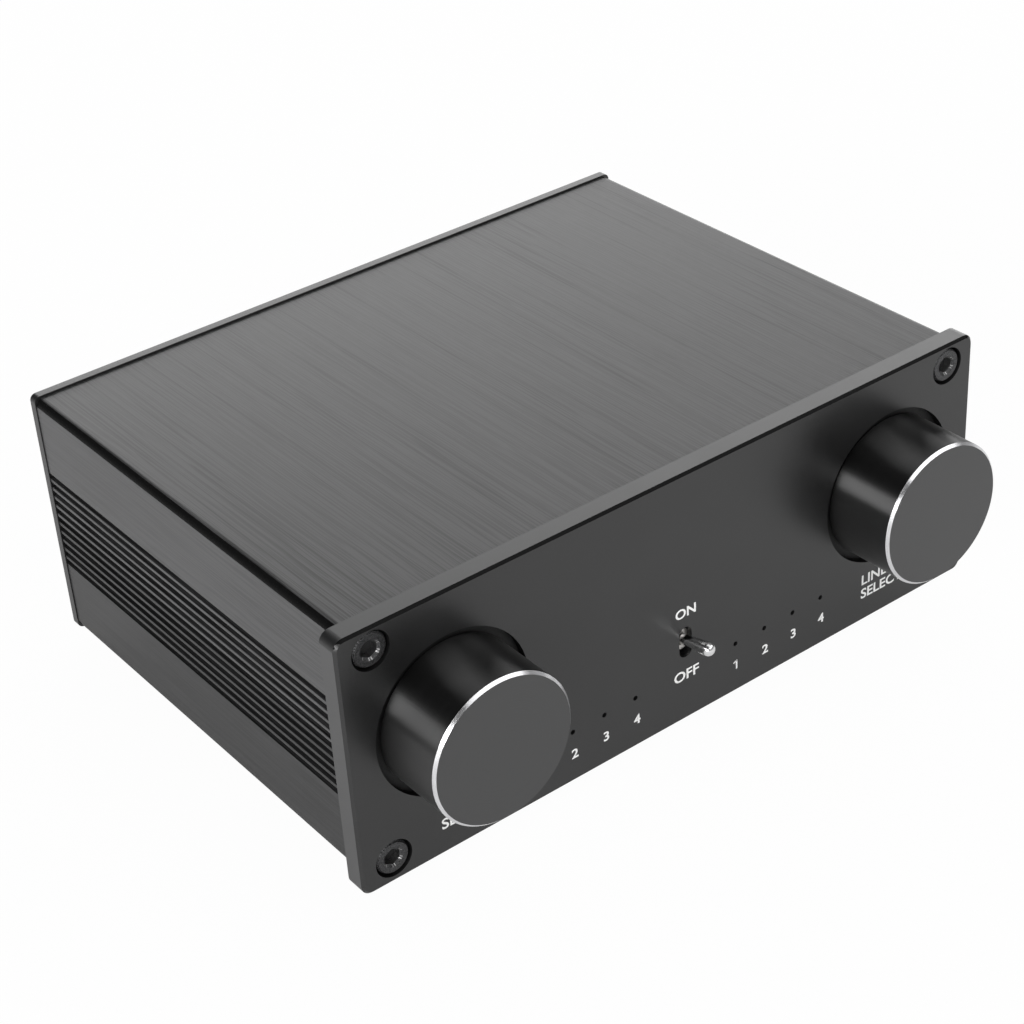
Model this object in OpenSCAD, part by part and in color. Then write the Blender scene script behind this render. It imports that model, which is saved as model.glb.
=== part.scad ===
// Audio source selector: a desk box with two selector knobs, a power toggle and rows of phono jacks.
// Depths are measured from the front face of the front panel, positive towards the back.

/* [Case] */
// Width of the front panel
panel_w = 204; // [196:1:230]
// Height of the front panel
panel_h = 74.4; // [70:0.2:90]
// Thickness of the front panel
panel_t = 6; // [5.8:0.1:8]
// Corner radius of the front panel
panel_r = 3; // [1.5:0.1:5]
// Bevel round the front of the front panel
panel_bevel = 0.7; // [0.4:0.1:1.4]
// Depth of the two body shells
body_d = 138.5; // [125:0.5:180]
// How far the front panel stands out past each side of the body
side_inset = 3.8; // [1:0.1:5]
// How far the front panel stands out above and below the body
edge_inset = 0.6; // [0.5:0.1:3]
// Radius of the long edges of the body
body_r = 2.4; // [1:0.1:4]
// Thickness of the body's top and bottom walls
flat_wall = 3; // [2.5:0.1:4]
// Thickness of the body's side walls
side_wall = 4; // [3.6:0.1:5]
// Thickness of the rear panel
rear_t = 2.8; // [2.7:0.1:5]
// How far the rear panel stands out above and below the body
rear_lip = 0.6; // [0.2:0.05:1.5]
// How far the rear panel stands out past each side of the body
rear_side_lip = 0.3; // [0.1:0.05:1]
// Corner radius of the rear panel
rear_r = 1.8; // [1:0.1:4]
// Bevel round the back of the rear panel
rear_bevel = 0.2; // [0.2:0.1:1]

/* [Side grooves and shell joint] */
// Number of grooves in each side, odd so that the middle one hides the joint
groove_count = 11; // [5:2:15]
// Distance from groove to groove
groove_pitch = 2.75; // [2.4:0.05:3.2]
// Width of a groove
groove_w = 1.8; // [1:0.1:1.9]
// Depth of a groove
groove_deep = 1.2; // [0.6:0.1:1.6]
// How far the middle groove and the joint lie below the middle of the body
groove_drop = 0.6; // [0:0.1:1]
// Height of the lap that joins the two shells
lap_h = 3; // [2:0.1:5]
// Thickness of the lap
lap_t = 1.2; // [0.8:0.1:1.4]

/* [Knobs] */
// Diameter of a knob
knob_d = 40; // [34:0.5:44]
// How far a knob's face stands in front of the panel
knob_proud = 19.2; // [16:0.1:24]
// How far a knob reaches into its pocket
knob_sink = 1.5; // [0.5:0.1:1.8]
// Bright bevel round a knob's face
knob_bevel = 0.7; // [0.5:0.1:2]
// Distance of a knob's axis from the side of the panel
knob_inset = 30.2; // [28:0.1:34]
// Height of the knob axes above the middle of the panel
knob_rise = 2.8; // [0:0.1:4]
// Gap between a knob and the wall of its pocket
pocket_gap = 2.3; // [1:0.1:3]
// Depth of a knob's pocket in the panel
pocket_deep = 2.5; // [2.2:0.1:3]
// Diameter of the hollow at the back of a knob
knob_hollow_d = 17; // [16:0.1:20]
// Diameter of a knob's set screw
set_d = 3; // [2.5:0.1:4]
// Length of a knob's set screw
set_len = 6; // [4:0.5:9]
// Size across flats of a set screw's socket
set_key = 1.5; // [1:0.1:2]

/* [Selector switches] */
// Diameter of a selector's shaft
shaft_d = 6; // [5:0.1:6.4]
// Height left on a shaft above its flat
shaft_flat = 4.5; // [4:0.1:5]
// Length of shaft inside a knob
shaft_grip = 10; // [8:0.5:12]
// Diameter of a selector's threaded bushing
bush_d = 9; // [8:0.1:10]
// How far the bushing stands past its nut
bush_past = 1; // [0.5:0.1:1.5]
// Size across flats of the bushing's nut
nut_key = 12; // [11.4:0.1:13]
// Thickness of the bushing's nut
nut_t = 2; // [1.5:0.1:2.4]
// Outer diameter of the bushing's washer
washer_d = 14; // [12.5:0.1:15]
// Thickness of the bushing's washer
washer_t = 0.5; // [0.3:0.1:0.8]
// Diameter of a selector's housing
switch_d = 26; // [24:0.5:30]
// Thickness of the plate behind the bushing
plate_t = 1.5; // [1:0.1:2]
// Depth of the housing behind that plate
cup_deep = 9.5; // [9:0.1:12]
// Wall of the housing
cup_wall = 1.5; // [1:0.1:2]
// Thickness of the rotor
rotor_t = 4; // [3:0.1:4.5]
// Space between the plate and the rotor
rotor_gap = 2; // [1:0.1:2.2]
// Radius of the ring of contacts
contact_r = 9; // [8:0.1:9.2]
// Number of switch positions
position_count = 4; // [3:1:5]
// Angle between switch positions
position_step = 30; // [20:1:30]
// Diameter of a selector's terminals
terminal_d = 1.2; // [0.8:0.1:1.4]
// Space between a selector's housing and the front board
switch_lead = 2.5; // [1.5:0.1:4]

/* [Power toggle] */
// Height of the toggle's middle above the panel's bottom edge
toggle_rise = 24.5; // [20:0.25:28]
// Width of the slot in the panel
slot_w = 4.2; // [3.6:0.1:4.6]
// Height of the slot in the panel
slot_h = 9.2; // [7.5:0.1:9.6]
// Thickness of panel left in front of the toggle's bushing
slot_skin = 1.5; // [1:0.1:2]
// Diameter of the toggle's bushing
toggle_bush_d = 6; // [5.6:0.1:7]
// Length of the toggle's bushing
toggle_bush_len = 8.9; // [8:0.1:9]
// Width of the toggle's housing
toggle_w = 8; // [7:0.1:9]
// Height of the toggle's housing
toggle_h = 13; // [12.5:0.1:15]
// Depth of the lever's pivot inside the bushing
pivot_deep = 2.4; // [2.2:0.1:2.6]
// Length of the lever from its pivot to its tip
lever_len = 14.6; // [12:0.1:17]
// Diameter of the lever's tip
lever_tip_d = 3.8; // [3.2:0.1:4.2]
// Diameter of the lever's thin end
lever_root_d = 1.9; // [1.6:0.1:2]
// Diameter of the lever's neck, just out of the bushing
lever_neck_d = 2.8; // [2.2:0.1:3]
// Diameter of the lever's pivot ball
lever_ball_d = 4; // [3.8:0.1:4.1]
// Diameter of the pin on which the lever pivots
lever_pin_d = 1; // [0.8:0.05:1.2]
// Tilt of the lever to each side of the middle
lever_tilt = 11; // [8:0.5:12]
// Tilt of the rocking contact to each side of the middle
rocker_tilt = 8; // [6:0.5:8]
// Length of the rocking contact
rocker_len = 9; // [8:0.1:9.4]
// Diameter of the bead on which the contact rocks
rocker_bead_d = 1.2; // [1:0.05:1.4]

/* [Indicators] */
// Number of lamps for each knob
led_count = 4; // [2:1:4]
// Distance from lamp to lamp
led_pitch = 10.16; // [8:0.01:10.5]
// Distance of the nearest lamp from the panel's middle
led_near = 17; // [14:0.1:20]
// Height of the lamps above the panel's bottom edge
led_rise = 15.5; // [13:0.1:16]
// Diameter of a lamp's pinhole
pinhole_d = 1.4; // [0.8:0.1:2]
// Diameter of a lamp
led_d = 3; // [2.5:0.1:3.2]
// Length of a lamp's straight body
led_len = 3; // [2.5:0.1:4]
// Thickness of panel left in front of a lamp
led_skin = 2.5; // [1.5:0.1:3]
// Thickness of a lamp's leads
lead_t = 0.5; // [0.4:0.05:0.6]
// Distance between a lamp's two leads
lead_pitch = 2.54; // [2:0.01:2.6]

/* [Boards] */
// Thickness of the circuit boards
board_t = 1.6; // [1:0.1:2]
// Space between the boards and the screw channels
board_side_gap = 3; // [1:0.1:6]
// Space between the front board and the case's floor and roof
board_edge_gap = 4; // [3:0.1:6]
// Space from the front board to the main board
board_front_gap = 8.4; // [7:0.1:9]
// Space from the main board to the rear panel
board_rear_gap = 1; // [0.5:0.1:2]
// Height of the standoffs under the main board
standoff_h = 10; // [8:0.5:14]
// Size across flats of a standoff
standoff_key = 5.5; // [5:0.1:6]
// Distance of the standoffs from the middle of the case
standoff_x = 60; // [50:1:62]
// Distance of the standoffs from the front edge of the main board
standoff_front = 6; // [5:0.5:10]
// Distance of the standoffs from the rear edge of the main board
standoff_rear = 20.5; // [20:0.5:22]
// Width of a relay
relay_w = 10; // [8:0.1:12]
// Depth of a relay
relay_d = 20; // [15:0.1:22]
// Height of a relay
relay_h = 11; // [8:0.1:14]
// Distance from the relays to the rear edge of the main board
relay_rear = 26; // [25:0.5:30]
// Width of a driver chip
chip_w = 20; // [15:0.1:24]
// Depth of a driver chip
chip_d = 7; // [6:0.1:8]
// Height of a driver chip
chip_h = 3.5; // [3:0.1:5]
// Space between the relays and the driver chips
chip_gap = 12; // [4:0.5:16]
// Diameter of a capacitor
cap_d = 10; // [8:0.1:12]
// Height of a capacitor
cap_h = 16; // [12:0.1:20]
// Distance from capacitor to capacitor
cap_pitch = 14; // [13:0.1:15]
// Height of the voltage regulator's tab
tab_h = 18; // [15:0.1:20]
// Width of the voltage regulator
tab_w = 10; // [9:0.1:11]

/* [Ribbon cable] */
// Width of a header
header_w = 25; // [24:0.1:30]
// Thickness of a header
header_t = 9; // [8:0.1:10]
// How far a header stands off its board
header_deep = 9; // [8:0.1:10]
// Height of the front header above the front board's bottom edge
header_rise = 33; // [32:0.5:36]
// Width of the ribbon
ribbon_w = 20; // [15:0.1:22]
// Thickness of the ribbon
ribbon_t = 1; // [0.8:0.1:1.4]
// Radius of the ribbon's bend
ribbon_bend = 6; // [5:0.1:8]
// Straight length of ribbon behind the front header
ribbon_run = 2; // [1:0.1:4]

/* [Jacks] */
// Number of stereo pairs in each block
jack_count = 4; // [2:1:4]
// Distance from pair to pair
jack_pitch = 17; // [15:0.1:17.5]
// Distance between the two rows
jack_row = 18; // [15:0.1:20]
// Height of the lower row above the main board
jack_rise = 11; // [9:0.1:13]
// Distance of each block's middle from the middle of the case
jack_x = 52; // [48:0.5:53]
// Depth of a jack block
block_deep = 14; // [10:0.1:15]
// Edge of a jack block past its outer jacks
block_edge = 8.5; // [7:0.1:9]
// Diameter of a jack's coloured collar
collar_d = 10.4; // [9.8:0.1:11]
// How far a collar stands out of the rear panel
collar_proud = 1; // [0.5:0.1:2]
// Outer diameter of a jack's sleeve
sleeve_d = 8.3; // [8:0.05:8.6]
// Inner diameter of a jack's sleeve
sleeve_bore = 7; // [6.6:0.05:7.2]
// Length of a jack's sleeve
sleeve_len = 9; // [8:0.1:11]
// Diameter of the contact hole in the middle of a jack
contact_d = 3.2; // [3:0.05:3.4]
// Depth of that hole
contact_deep = 8; // [6:0.1:9]
// Diameter of the spigot that holds a jack in its block
spigot_d = 6; // [4:0.1:7]
// Length of that spigot
spigot_len = 3; // [2:0.1:5]
// Width of the power jack
power_w = 9; // [8.6:0.1:11]
// Height of the power jack
power_h = 11; // [10:0.1:13]
// Depth of the power jack
power_deep = 14.5; // [13:0.1:16]
// Height of the power jack's axis above the main board
power_rise = 6.5; // [5:0.1:7]
// Outer diameter of the power jack's nose
power_nose_d = 8; // [7.6:0.1:8.6]
// Bore of the power jack
power_bore = 6.3; // [5.8:0.1:6.5]
// Depth of that bore
power_bore_deep = 10; // [9:0.1:11]
// Diameter of the power jack's centre pin
power_pin_d = 2; // [1.6:0.1:2.5]

/* [Screws and feet] */
// Diameter of the case screws
case_screw_d = 5; // [4:0.1:5.4]
// Diameter of the front screws' heads
case_head_d = 9.2; // [7:0.1:9.5]
// Height of the front screws' heads
case_head_h = 3.5; // [2.5:0.1:3.8]
// Size across flats of the case screws' sockets
case_key = 4; // [2.5:0.1:4.2]
// Depth of the front screws' heads below the panel's face
case_sink = 0.3; // [0.2:0.1:0.8]
// Diameter of the seats for the front screws' heads
case_seat_d = 10.5; // [9.8:0.1:10.7]
// Length of case screw inside the body
case_grip = 12; // [8:0.5:20]
// Distance of the case screws from the sides of the front panel
screw_inset_x = 9.5; // [9:0.1:10.5]
// Distance of the case screws from the top and bottom of the front panel
screw_inset_z = 6.7; // [6.2:0.1:7.5]
// How far the case screws as a set lie above the middle of the panel
screw_lift = 0.4; // [0:0.1:0.5]
// Outer diameter of the body's screw channels
boss_d = 9; // [8:0.1:10]
// Diameter of the rear screws' heads
sunk_head_d = 9.2; // [8:0.1:9.6]
// Height of the rear screws' heads
sunk_head_h = 2.6; // [2:0.1:2.6]
// Size across flats of the rear screws' sockets
sunk_key = 3; // [2:0.1:3.4]
// Diameter of the small screws
small_d = 3; // [2.5:0.1:3.2]
// Diameter of the small screws' heads
small_head_d = 5.6; // [5:0.1:6]
// Height of the small screws' heads
small_head_h = 1.8; // [1.4:0.1:2.2]
// Size across flats of the small screws' sockets
small_key = 2; // [1.5:0.1:2.5]
// Length of small screw inside a standoff or a jack block
small_grip = 4; // [3:0.1:4.5]
// Diameter of a rubber foot
foot_d = 18; // [14:0.5:20]
// Height of a rubber foot
foot_h = 5; // [4.5:0.1:8]
// Bevel round a foot's bottom
foot_bevel = 1; // [0.4:0.1:1.5]
// Distance of the feet from the sides of the body
foot_inset_x = 18; // [16:0.5:22]
// Distance of the feet from the front and back of the body
foot_inset_y = 18.5; // [14:0.5:22]
// Depth of the recess for a foot's screw
foot_recess = 2.5; // [2.3:0.1:3]

/* [Clearances] */
// Gap round a running shaft or pivot
run_gap = 0.05; // [0.02:0.01:0.08]
// Gap round a piece that is pushed or screwed into place
fit_gap = 0.05; // [0.02:0.01:0.1]
// Gap round a piece that passes freely through a hole
free_gap = 0.3; // [0.2:0.05:0.4]

/* [Hidden] */
$fn = 64;

// Case sizes
body_w = panel_w - 2*side_inset;
body_h = panel_h - 2*edge_inset;
rear_w = body_w + 2*rear_side_lip;
rear_h = body_h + 2*rear_lip;
inner_w = body_w - 2*side_wall;
rear_in = panel_t + body_d;
rear_out = rear_in + rear_t;
jack_proud = collar_proud + sleeve_len;
front_y = knob_proud - (knob_proud + rear_out + jack_proud)/2;
mid_z = foot_h + body_h/2;
floor_z = foot_h + flat_wall;
roof_z = foot_h + body_h - flat_wall;
panel_low_z = mid_z - panel_h/2;
cut = 1;

// Places on the front panel
knob_x = panel_w/2 - knob_inset;
knob_z = mid_z + knob_rise;
screw_x = panel_w/2 - screw_inset_x;
screw_rise = panel_h/2 - screw_inset_z;
screw_mid_z = mid_z + screw_lift;
toggle_z = panel_low_z + toggle_rise;
led_z = panel_low_z + led_rise;
sides = [-1, 1];
led_offsets = [for (i = [0:led_count - 1]) led_near + i*led_pitch];

// Selector depths
pocket_d = knob_d + 2*pocket_gap;
bush_front = pocket_deep - washer_t - nut_t - bush_past;
plate_back = panel_t + plate_t;
cup_back = plate_back + cup_deep;
rotor_front = plate_back + rotor_gap;
rotor_back = rotor_front + rotor_t;
board_front = cup_back + switch_lead;
board_back = board_front + board_t;
pin_past = 1.5;
terminal_end = board_back + pin_past;
wiper_h = 0.4;
wiper_d = 1.6;
wiper_gap = 0.2;
lug_d = 2.5;
lug_len = 1.6;
lug_r = switch_d/2 - lug_d;
hollow_gap = 1;
hollow_front = bush_front - hollow_gap;
shaft_front = hollow_front - shaft_grip;
common_r = contact_r/2 + terminal_d;
first_angle = -position_step*(position_count - 1)/2;
rotor_rim_gap = 1.5;
shaft_past = 0.8;

// Toggle depths
toggle_front_gap = 0.2;
toggle_face = slot_skin + toggle_front_gap;
pivot = toggle_face + pivot_deep;
toggle_plate = toggle_face + toggle_bush_len;
toggle_plate_t = 0.8;
toggle_open = toggle_plate + toggle_plate_t;
toggle_wall = 1.25;
lip_t = 0.4;
pin_end_gap = 0.2;
lever_arm_d = 1.4;
rocker_t = 0.8;
rocker_w = 4;
rocker_setback = 3.5;
rocker_axis = board_front - rocker_setback;
rocker_face = rocker_axis - rocker_t/2;
lever_end_gap = 0.4;
flare_gap = 0.3;
flare_len = 0.8;
flare_start = pivot_deep + flare_gap;
lever_inner = rocker_face - pivot - lever_arm_d/2 - lever_end_gap;
blade_w = 2;
blade_t = 0.8;
blade_gap = 0.15;
blade_edge = 0.5;
blade_pitch = rocker_len/2 - blade_edge;
rocker_reach = rocker_t/2/cos(rocker_tilt);
middle_blade = rocker_axis + rocker_bead_d/2 + blade_gap;
outer_blade = rocker_axis + rocker_reach + blade_pitch*tan(rocker_tilt) + blade_gap;

// Lamp depths
led_front_gap = 0.2;
led_tip = led_skin + led_front_gap;
led_shoulder = max(led_tip + led_d/2 + led_len, panel_t + led_front_gap);
led_flange_t = 1;
led_flange = 0.4;
led_flange_d = led_d + 2*led_flange;
led_back = led_shoulder + led_flange_t;

// Boards
board_w = 2*(screw_x - boss_d/2 - board_side_gap);
front_board_low = floor_z + board_edge_gap;
front_board_high = roof_z - board_edge_gap;
main_front = board_back + board_front_gap;
main_back = rear_in - board_rear_gap;
main_low = floor_z + standoff_h;
main_top = main_low + board_t;
standoff_depths = [main_front + standoff_front, main_back - standoff_rear];
relay_back = main_back - relay_rear;
chip_back = relay_back - relay_d - chip_gap;
header_z = front_board_low + header_rise;
ribbon_start = board_back + header_deep;
ribbon_drop = ribbon_start + ribbon_run + ribbon_bend;
regulator_body_t = 4.4;
regulator_tab_t = 1.3;
regulator_body_h = 9;

// Jacks
jack_offsets = [for (i = [0:jack_count - 1]) (i - (jack_count - 1)/2)*jack_pitch];
jack_low_z = main_top + jack_rise;
jack_high_z = jack_low_z + jack_row;
jack_rows = [jack_low_z, jack_high_z];
block_w = (jack_count - 1)*jack_pitch + 2*block_edge;
block_front = rear_in - block_deep;
block_top = jack_high_z + block_edge;
block_screw_x = (floor(jack_count/2) - 0.5)*jack_pitch;
collar_face = rear_out + collar_proud;
sleeve_end = collar_face + sleeve_len;
core_setback = 0.5;
core_end = sleeve_end - core_setback;
power_z = main_top + power_rise;
power_floor = rear_out - power_bore_deep;
power_pin_setback = 0.5;

// Screw sockets and the space between screws that meet in one hole
socket_share = 0.7;
grip_gap = 0.5;

// Feet
foot_x = body_w/2 - foot_inset_x;
foot_depths = [panel_t + foot_inset_y, rear_in - foot_inset_y];

// Round bar along the depth of the case
module bar(d, from, to, x = 0, z = 0) {
    translate([x, front_y + from, z]) rotate([-90, 0, 0]) cylinder(d = d, h = to - from);
}

// Hexagonal bar along the depth of the case, by its size across flats
module hex_bar(key, from, to, x = 0, z = 0) {
    translate([x, front_y + from, z]) rotate([-90, 0, 0]) cylinder(d = key/cos(30), h = to - from, $fn = 6);
}

// Taper along the depth of the case
module taper(d1, d2, from, to, x = 0, z = 0) {
    translate([x, front_y + from, z]) rotate([-90, 0, 0]) cylinder(d1 = d1, d2 = d2, h = to - from);
}

// Turned shape about a line along the depth, from points of radius and depth
module turned(points, x = 0, z = 0) {
    translate([x, front_y, z]) rotate([-90, 0, 0]) rotate_extrude() polygon(points);
}

// Box by its middle in x, its depths and its heights
module box(w, from, to, low, high, x = 0) {
    translate([x - w/2, front_y + from, low]) cube([w, to - from, high - low]);
}

// Upright cylinder by its heights, at a place across the case and a depth
module post(d, low, high, x, depth) {
    translate([x, front_y + depth, low]) cylinder(d = d, h = high - low);
}

// Plate standing across the depth, its front edges bevelled, about its middle
module bevelled_plate(w, h, t, r, bevel) {
    rotate([90, 0, 90]) linear_extrude(w - 2*r, center = true)
        polygon([[0, bevel - h/2], [bevel, -h/2], [t, -h/2], [t, h/2], [bevel, h/2], [0, h/2 - bevel]]);
    linear_extrude(h - 2*r, center = true)
        polygon([[bevel - w/2, 0], [w/2 - bevel, 0], [w/2, bevel], [w/2, t], [-w/2, t], [-w/2, bevel]]);
    for (sx = sides, sz = sides)
        translate([sx*(w/2 - r), 0, sz*(h/2 - r)]) rotate([-90, 0, 0]) rotate_extrude()
            polygon([[0, 0], [r - bevel, 0], [r, bevel], [r, t], [0, t]]);
}

// Rectangle with round corners, about its middle
module round_rect(w, h, r) {
    square([w - 2*r, h], center = true);
    square([w, h - 2*r], center = true);
    for (sx = sides, sy = sides) translate([sx*(w/2 - r), sy*(h/2 - r)]) circle(r);
}

module front_panel() {
    color("#2b2b2d") difference() {
        translate([0, front_y, mid_z]) bevelled_plate(panel_w, panel_h, panel_t, panel_r, panel_bevel);
        for (sx = sides) {
            bar(pocket_d, -cut, pocket_deep, sx*knob_x, knob_z);
            bar(bush_d + 2*free_gap, 0, panel_t + cut, sx*knob_x, knob_z);
            bar(lug_d + 2*free_gap, panel_t - lug_len - free_gap, panel_t + cut, sx*knob_x, knob_z - lug_r);
            for (offset = led_offsets) {
                bar(pinhole_d, -cut, panel_t, sx*offset, led_z);
                bar(led_d + 2*free_gap, led_skin, panel_t + cut, sx*offset, led_z);
            }
            for (sz = sides) {
                bar(case_seat_d, -cut, case_sink + case_head_h, sx*screw_x, screw_mid_z + sz*screw_rise);
                bar(case_screw_d + 2*free_gap, 0, panel_t + cut, sx*screw_x, screw_mid_z + sz*screw_rise);
            }
            bar(slot_w, -cut, panel_t, 0, toggle_z + sx*(slot_h - slot_w)/2);
        }
        box(slot_w, -cut, panel_t, toggle_z - (slot_h - slot_w)/2, toggle_z + (slot_h - slot_w)/2);
        bar(toggle_bush_d + 2*free_gap, slot_skin, panel_t + cut, 0, toggle_z);
    }
}

// Cross-section of the closed body, with its grooves and screw channels
module body_section() {
    difference() {
        round_rect(body_w, body_h, body_r);
        difference() {
            square([inner_w, body_h - 2*flat_wall], center = true);
            for (sx = sides, sz = sides) translate([sx*screw_x, screw_lift + sz*screw_rise]) circle(d = boss_d);
        }
        for (sx = sides, sz = sides)
            translate([sx*screw_x, screw_lift + sz*screw_rise]) circle(d = case_screw_d + 2*fit_gap);
        for (sx = sides, i = [0:groove_count - 1])
            translate([sx*body_w/2, (i - (groove_count - 1)/2)*groove_pitch - groove_drop])
                square([2*groove_deep, groove_w], center = true);
    }
}

// What belongs to the lower shell: all below the joint, and the lap inside the wall
module lower_part(gap) {
    translate([0, -groove_drop]) {
        translate([-body_w, -body_h]) square([2*body_w, body_h]);
        translate([-inner_w/2 - lap_t - gap, -cut]) square([inner_w + 2*(lap_t + gap), cut + lap_h + gap]);
    }
}

// Cross-section drawn out along the body
module along_body() {
    translate([0, front_y + rear_in, mid_z]) rotate([90, 0, 0]) linear_extrude(body_d) children();
}

module upper_shell() {
    color("#3a3a3d") along_body() difference() {
        body_section();
        lower_part(fit_gap);
    }
}

module lower_shell() {
    color("#3a3a3d") difference() {
        along_body() intersection() {
            body_section();
            lower_part(0);
        }
        for (sx = sides) {
            for (depth = foot_depths)
                post(small_d + 2*fit_gap, foot_h - cut, floor_z + cut, sx*foot_x, depth);
            for (depth = standoff_depths) {
                post(small_d + 2*fit_gap, foot_h - cut, floor_z + cut, sx*standoff_x, depth);
                translate([sx*standoff_x, front_y + depth, foot_h]) sunk_cone(fit_gap);
            }
        }
    }
}

// Head of a small countersunk screw, from its face upwards
module sunk_cone(gap) {
    translate([0, 0, -gap])
        cylinder(d1 = small_head_d + 2*gap, d2 = small_d + 2*gap, h = small_head_h + gap);
}

module rear_panel() {
    color("#2b2b2d") difference() {
        translate([0, front_y + rear_out, mid_z]) mirror([0, 1, 0])
            bevelled_plate(rear_w, rear_h, rear_t, rear_r, rear_bevel);
        for (sx = sides) {
            for (offset = jack_offsets, z = jack_rows)
                bar(collar_d + 2*free_gap, rear_in - cut, rear_out + cut, sx*jack_x + offset, z);
            for (sz = sides) {
                bar(case_screw_d + 2*fit_gap, rear_in - cut, rear_out + cut,
                    sx*screw_x, screw_mid_z + sz*screw_rise);
                taper(case_screw_d + 2*fit_gap, sunk_head_d + 2*fit_gap, rear_out - sunk_head_h, rear_out,
                      sx*screw_x, screw_mid_z + sz*screw_rise);
            }
            for (side = sides)
                bar(small_d + 2*free_gap, rear_in - cut, rear_out + cut,
                    sx*jack_x + side*block_screw_x, (jack_low_z + jack_high_z)/2);
        }
        bar(power_nose_d + 2*free_gap, rear_in - cut, rear_out + cut, 0, power_z);
    }
}

module front_panel_screws() {
    head_back = case_sink + case_head_h;
    color("#1c1c1e") for (sx = sides, sz = sides)
        difference() {
            union() {
                bar(case_head_d, case_sink, head_back, sx*screw_x, screw_mid_z + sz*screw_rise);
                bar(case_screw_d, case_sink, panel_t + case_grip, sx*screw_x, screw_mid_z + sz*screw_rise);
            }
            hex_bar(case_key, case_sink - cut, case_sink + case_head_h*socket_share,
                    sx*screw_x, screw_mid_z + sz*screw_rise);
        }
}

module rear_panel_screws() {
    color("#1c1c1e") for (sx = sides, sz = sides)
        difference() {
            union() {
                taper(case_screw_d, sunk_head_d, rear_out - sunk_head_h, rear_out,
                      sx*screw_x, screw_mid_z + sz*screw_rise);
                bar(case_screw_d, rear_in - case_grip, rear_out, sx*screw_x, screw_mid_z + sz*screw_rise);
            }
            hex_bar(sunk_key, rear_out - sunk_head_h*socket_share, rear_out + cut,
                    sx*screw_x, screw_mid_z + sz*screw_rise);
        }
}

module rubber_feet() {
    color("#161616") for (sx = sides, depth = foot_depths)
        translate([sx*foot_x, front_y + depth, 0]) difference() {
            rotate_extrude() polygon([
                [0, 0], [foot_d/2 - foot_bevel, 0], [foot_d/2, foot_bevel], [foot_d/2, foot_h], [0, foot_h]
            ]);
            translate([0, 0, -cut]) cylinder(d = small_head_d + 2*free_gap, h = cut + foot_recess);
            translate([0, 0, -cut]) cylinder(d = small_d + 2*fit_gap, h = foot_h + 2*cut);
        }
}

// Screw with a flat cylinder head, its head's seat at the origin and its shank upwards
module pan_screw(grip) {
    difference() {
        union() {
            translate([0, 0, -small_head_h]) cylinder(d = small_head_d, h = small_head_h);
            cylinder(d = small_d, h = grip);
        }
        translate([0, 0, -small_head_h - cut])
            cylinder(d = small_key/cos(30), h = cut + small_head_h*socket_share, $fn = 6);
    }
}

module foot_screws() {
    color("silver") for (sx = sides, depth = foot_depths)
        translate([sx*foot_x, front_y + depth, foot_recess]) pan_screw(floor_z - foot_recess);
}

module knob(x) {
    difference() {
        turned([
            [0, -knob_proud], [knob_d/2 - knob_bevel, -knob_proud], [knob_d/2, knob_bevel - knob_proud],
            [knob_d/2, knob_sink], [knob_hollow_d/2, knob_sink], [knob_hollow_d/2, hollow_front],
            [shaft_d/2 + fit_gap, hollow_front], [shaft_d/2 + fit_gap, shaft_front - fit_gap],
            [0, shaft_front - fit_gap]
        ], x, knob_z);
        translate([x, front_y + hollow_front - shaft_grip/2, knob_z]) rotate([180, 0, 0])
            cylinder(d = set_d + 2*fit_gap, h = knob_d);
    }
}

module knob_set_screw(x) {
    translate([x, front_y + hollow_front - shaft_grip/2, knob_z]) rotate([180, 0, 0])
        translate([0, 0, shaft_flat - shaft_d/2 + fit_gap]) difference() {
            cylinder(d = set_d, h = set_len);
            translate([0, 0, set_len/2]) cylinder(d = set_key/cos(30), h = set_len, $fn = 6);
        }
}

module switch_shaft(x) {
    difference() {
        bar(shaft_d, shaft_front, rotor_back + shaft_past, x, knob_z);
        translate([x, front_y + shaft_front - cut, knob_z + shaft_d/2 - shaft_flat - shaft_d])
            translate([-shaft_d, 0, 0]) cube([2*shaft_d, cut + shaft_grip, shaft_d]);
    }
}

// Place on a circle, by an angle clockwise from the top as seen from the front
function clock(angle, r) = [r*sin(angle), r*cos(angle)];

module switch_rotor(x) {
    wiper = clock(first_angle, contact_r);
    difference() {
        union() {
            bar(switch_d - 2*cup_wall - 2*rotor_rim_gap, rotor_front, rotor_back, x, knob_z);
            bar(wiper_d, rotor_front, rotor_back + wiper_h, x + wiper[0], knob_z + wiper[1]);
        }
        bar(shaft_d + 2*fit_gap, rotor_front - cut, rotor_back + cut, x, knob_z);
    }
}

module switch_bushing(x) {
    difference() {
        union() {
            bar(bush_d, bush_front, plate_back, x, knob_z);
            bar(switch_d, panel_t, plate_back, x, knob_z);
            bar(lug_d, panel_t - lug_len, plate_back, x, knob_z - lug_r);
        }
        bar(shaft_d + 2*run_gap, bush_front - cut, plate_back + cut, x, knob_z);
    }
}

// Places of a selector's terminals, across the case and up, about its axis
terminal_spots = concat(
    [for (i = [0:position_count - 1]) clock(first_angle + i*position_step, contact_r)],
    [clock(180, common_r)]
);

module switch_housing(x) {
    difference() {
        bar(switch_d, plate_back, cup_back, x, knob_z);
        bar(switch_d - 2*cup_wall, plate_back - cut, cup_back - cup_wall, x, knob_z);
        for (spot = terminal_spots)
            bar(terminal_d + 2*fit_gap, plate_back, cup_back + cut, x + spot[0], knob_z + spot[1]);
    }
}

module switch_terminals(x) {
    for (spot = terminal_spots)
        bar(terminal_d, rotor_back + wiper_h + wiper_gap, terminal_end, x + spot[0], knob_z + spot[1]);
}

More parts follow.
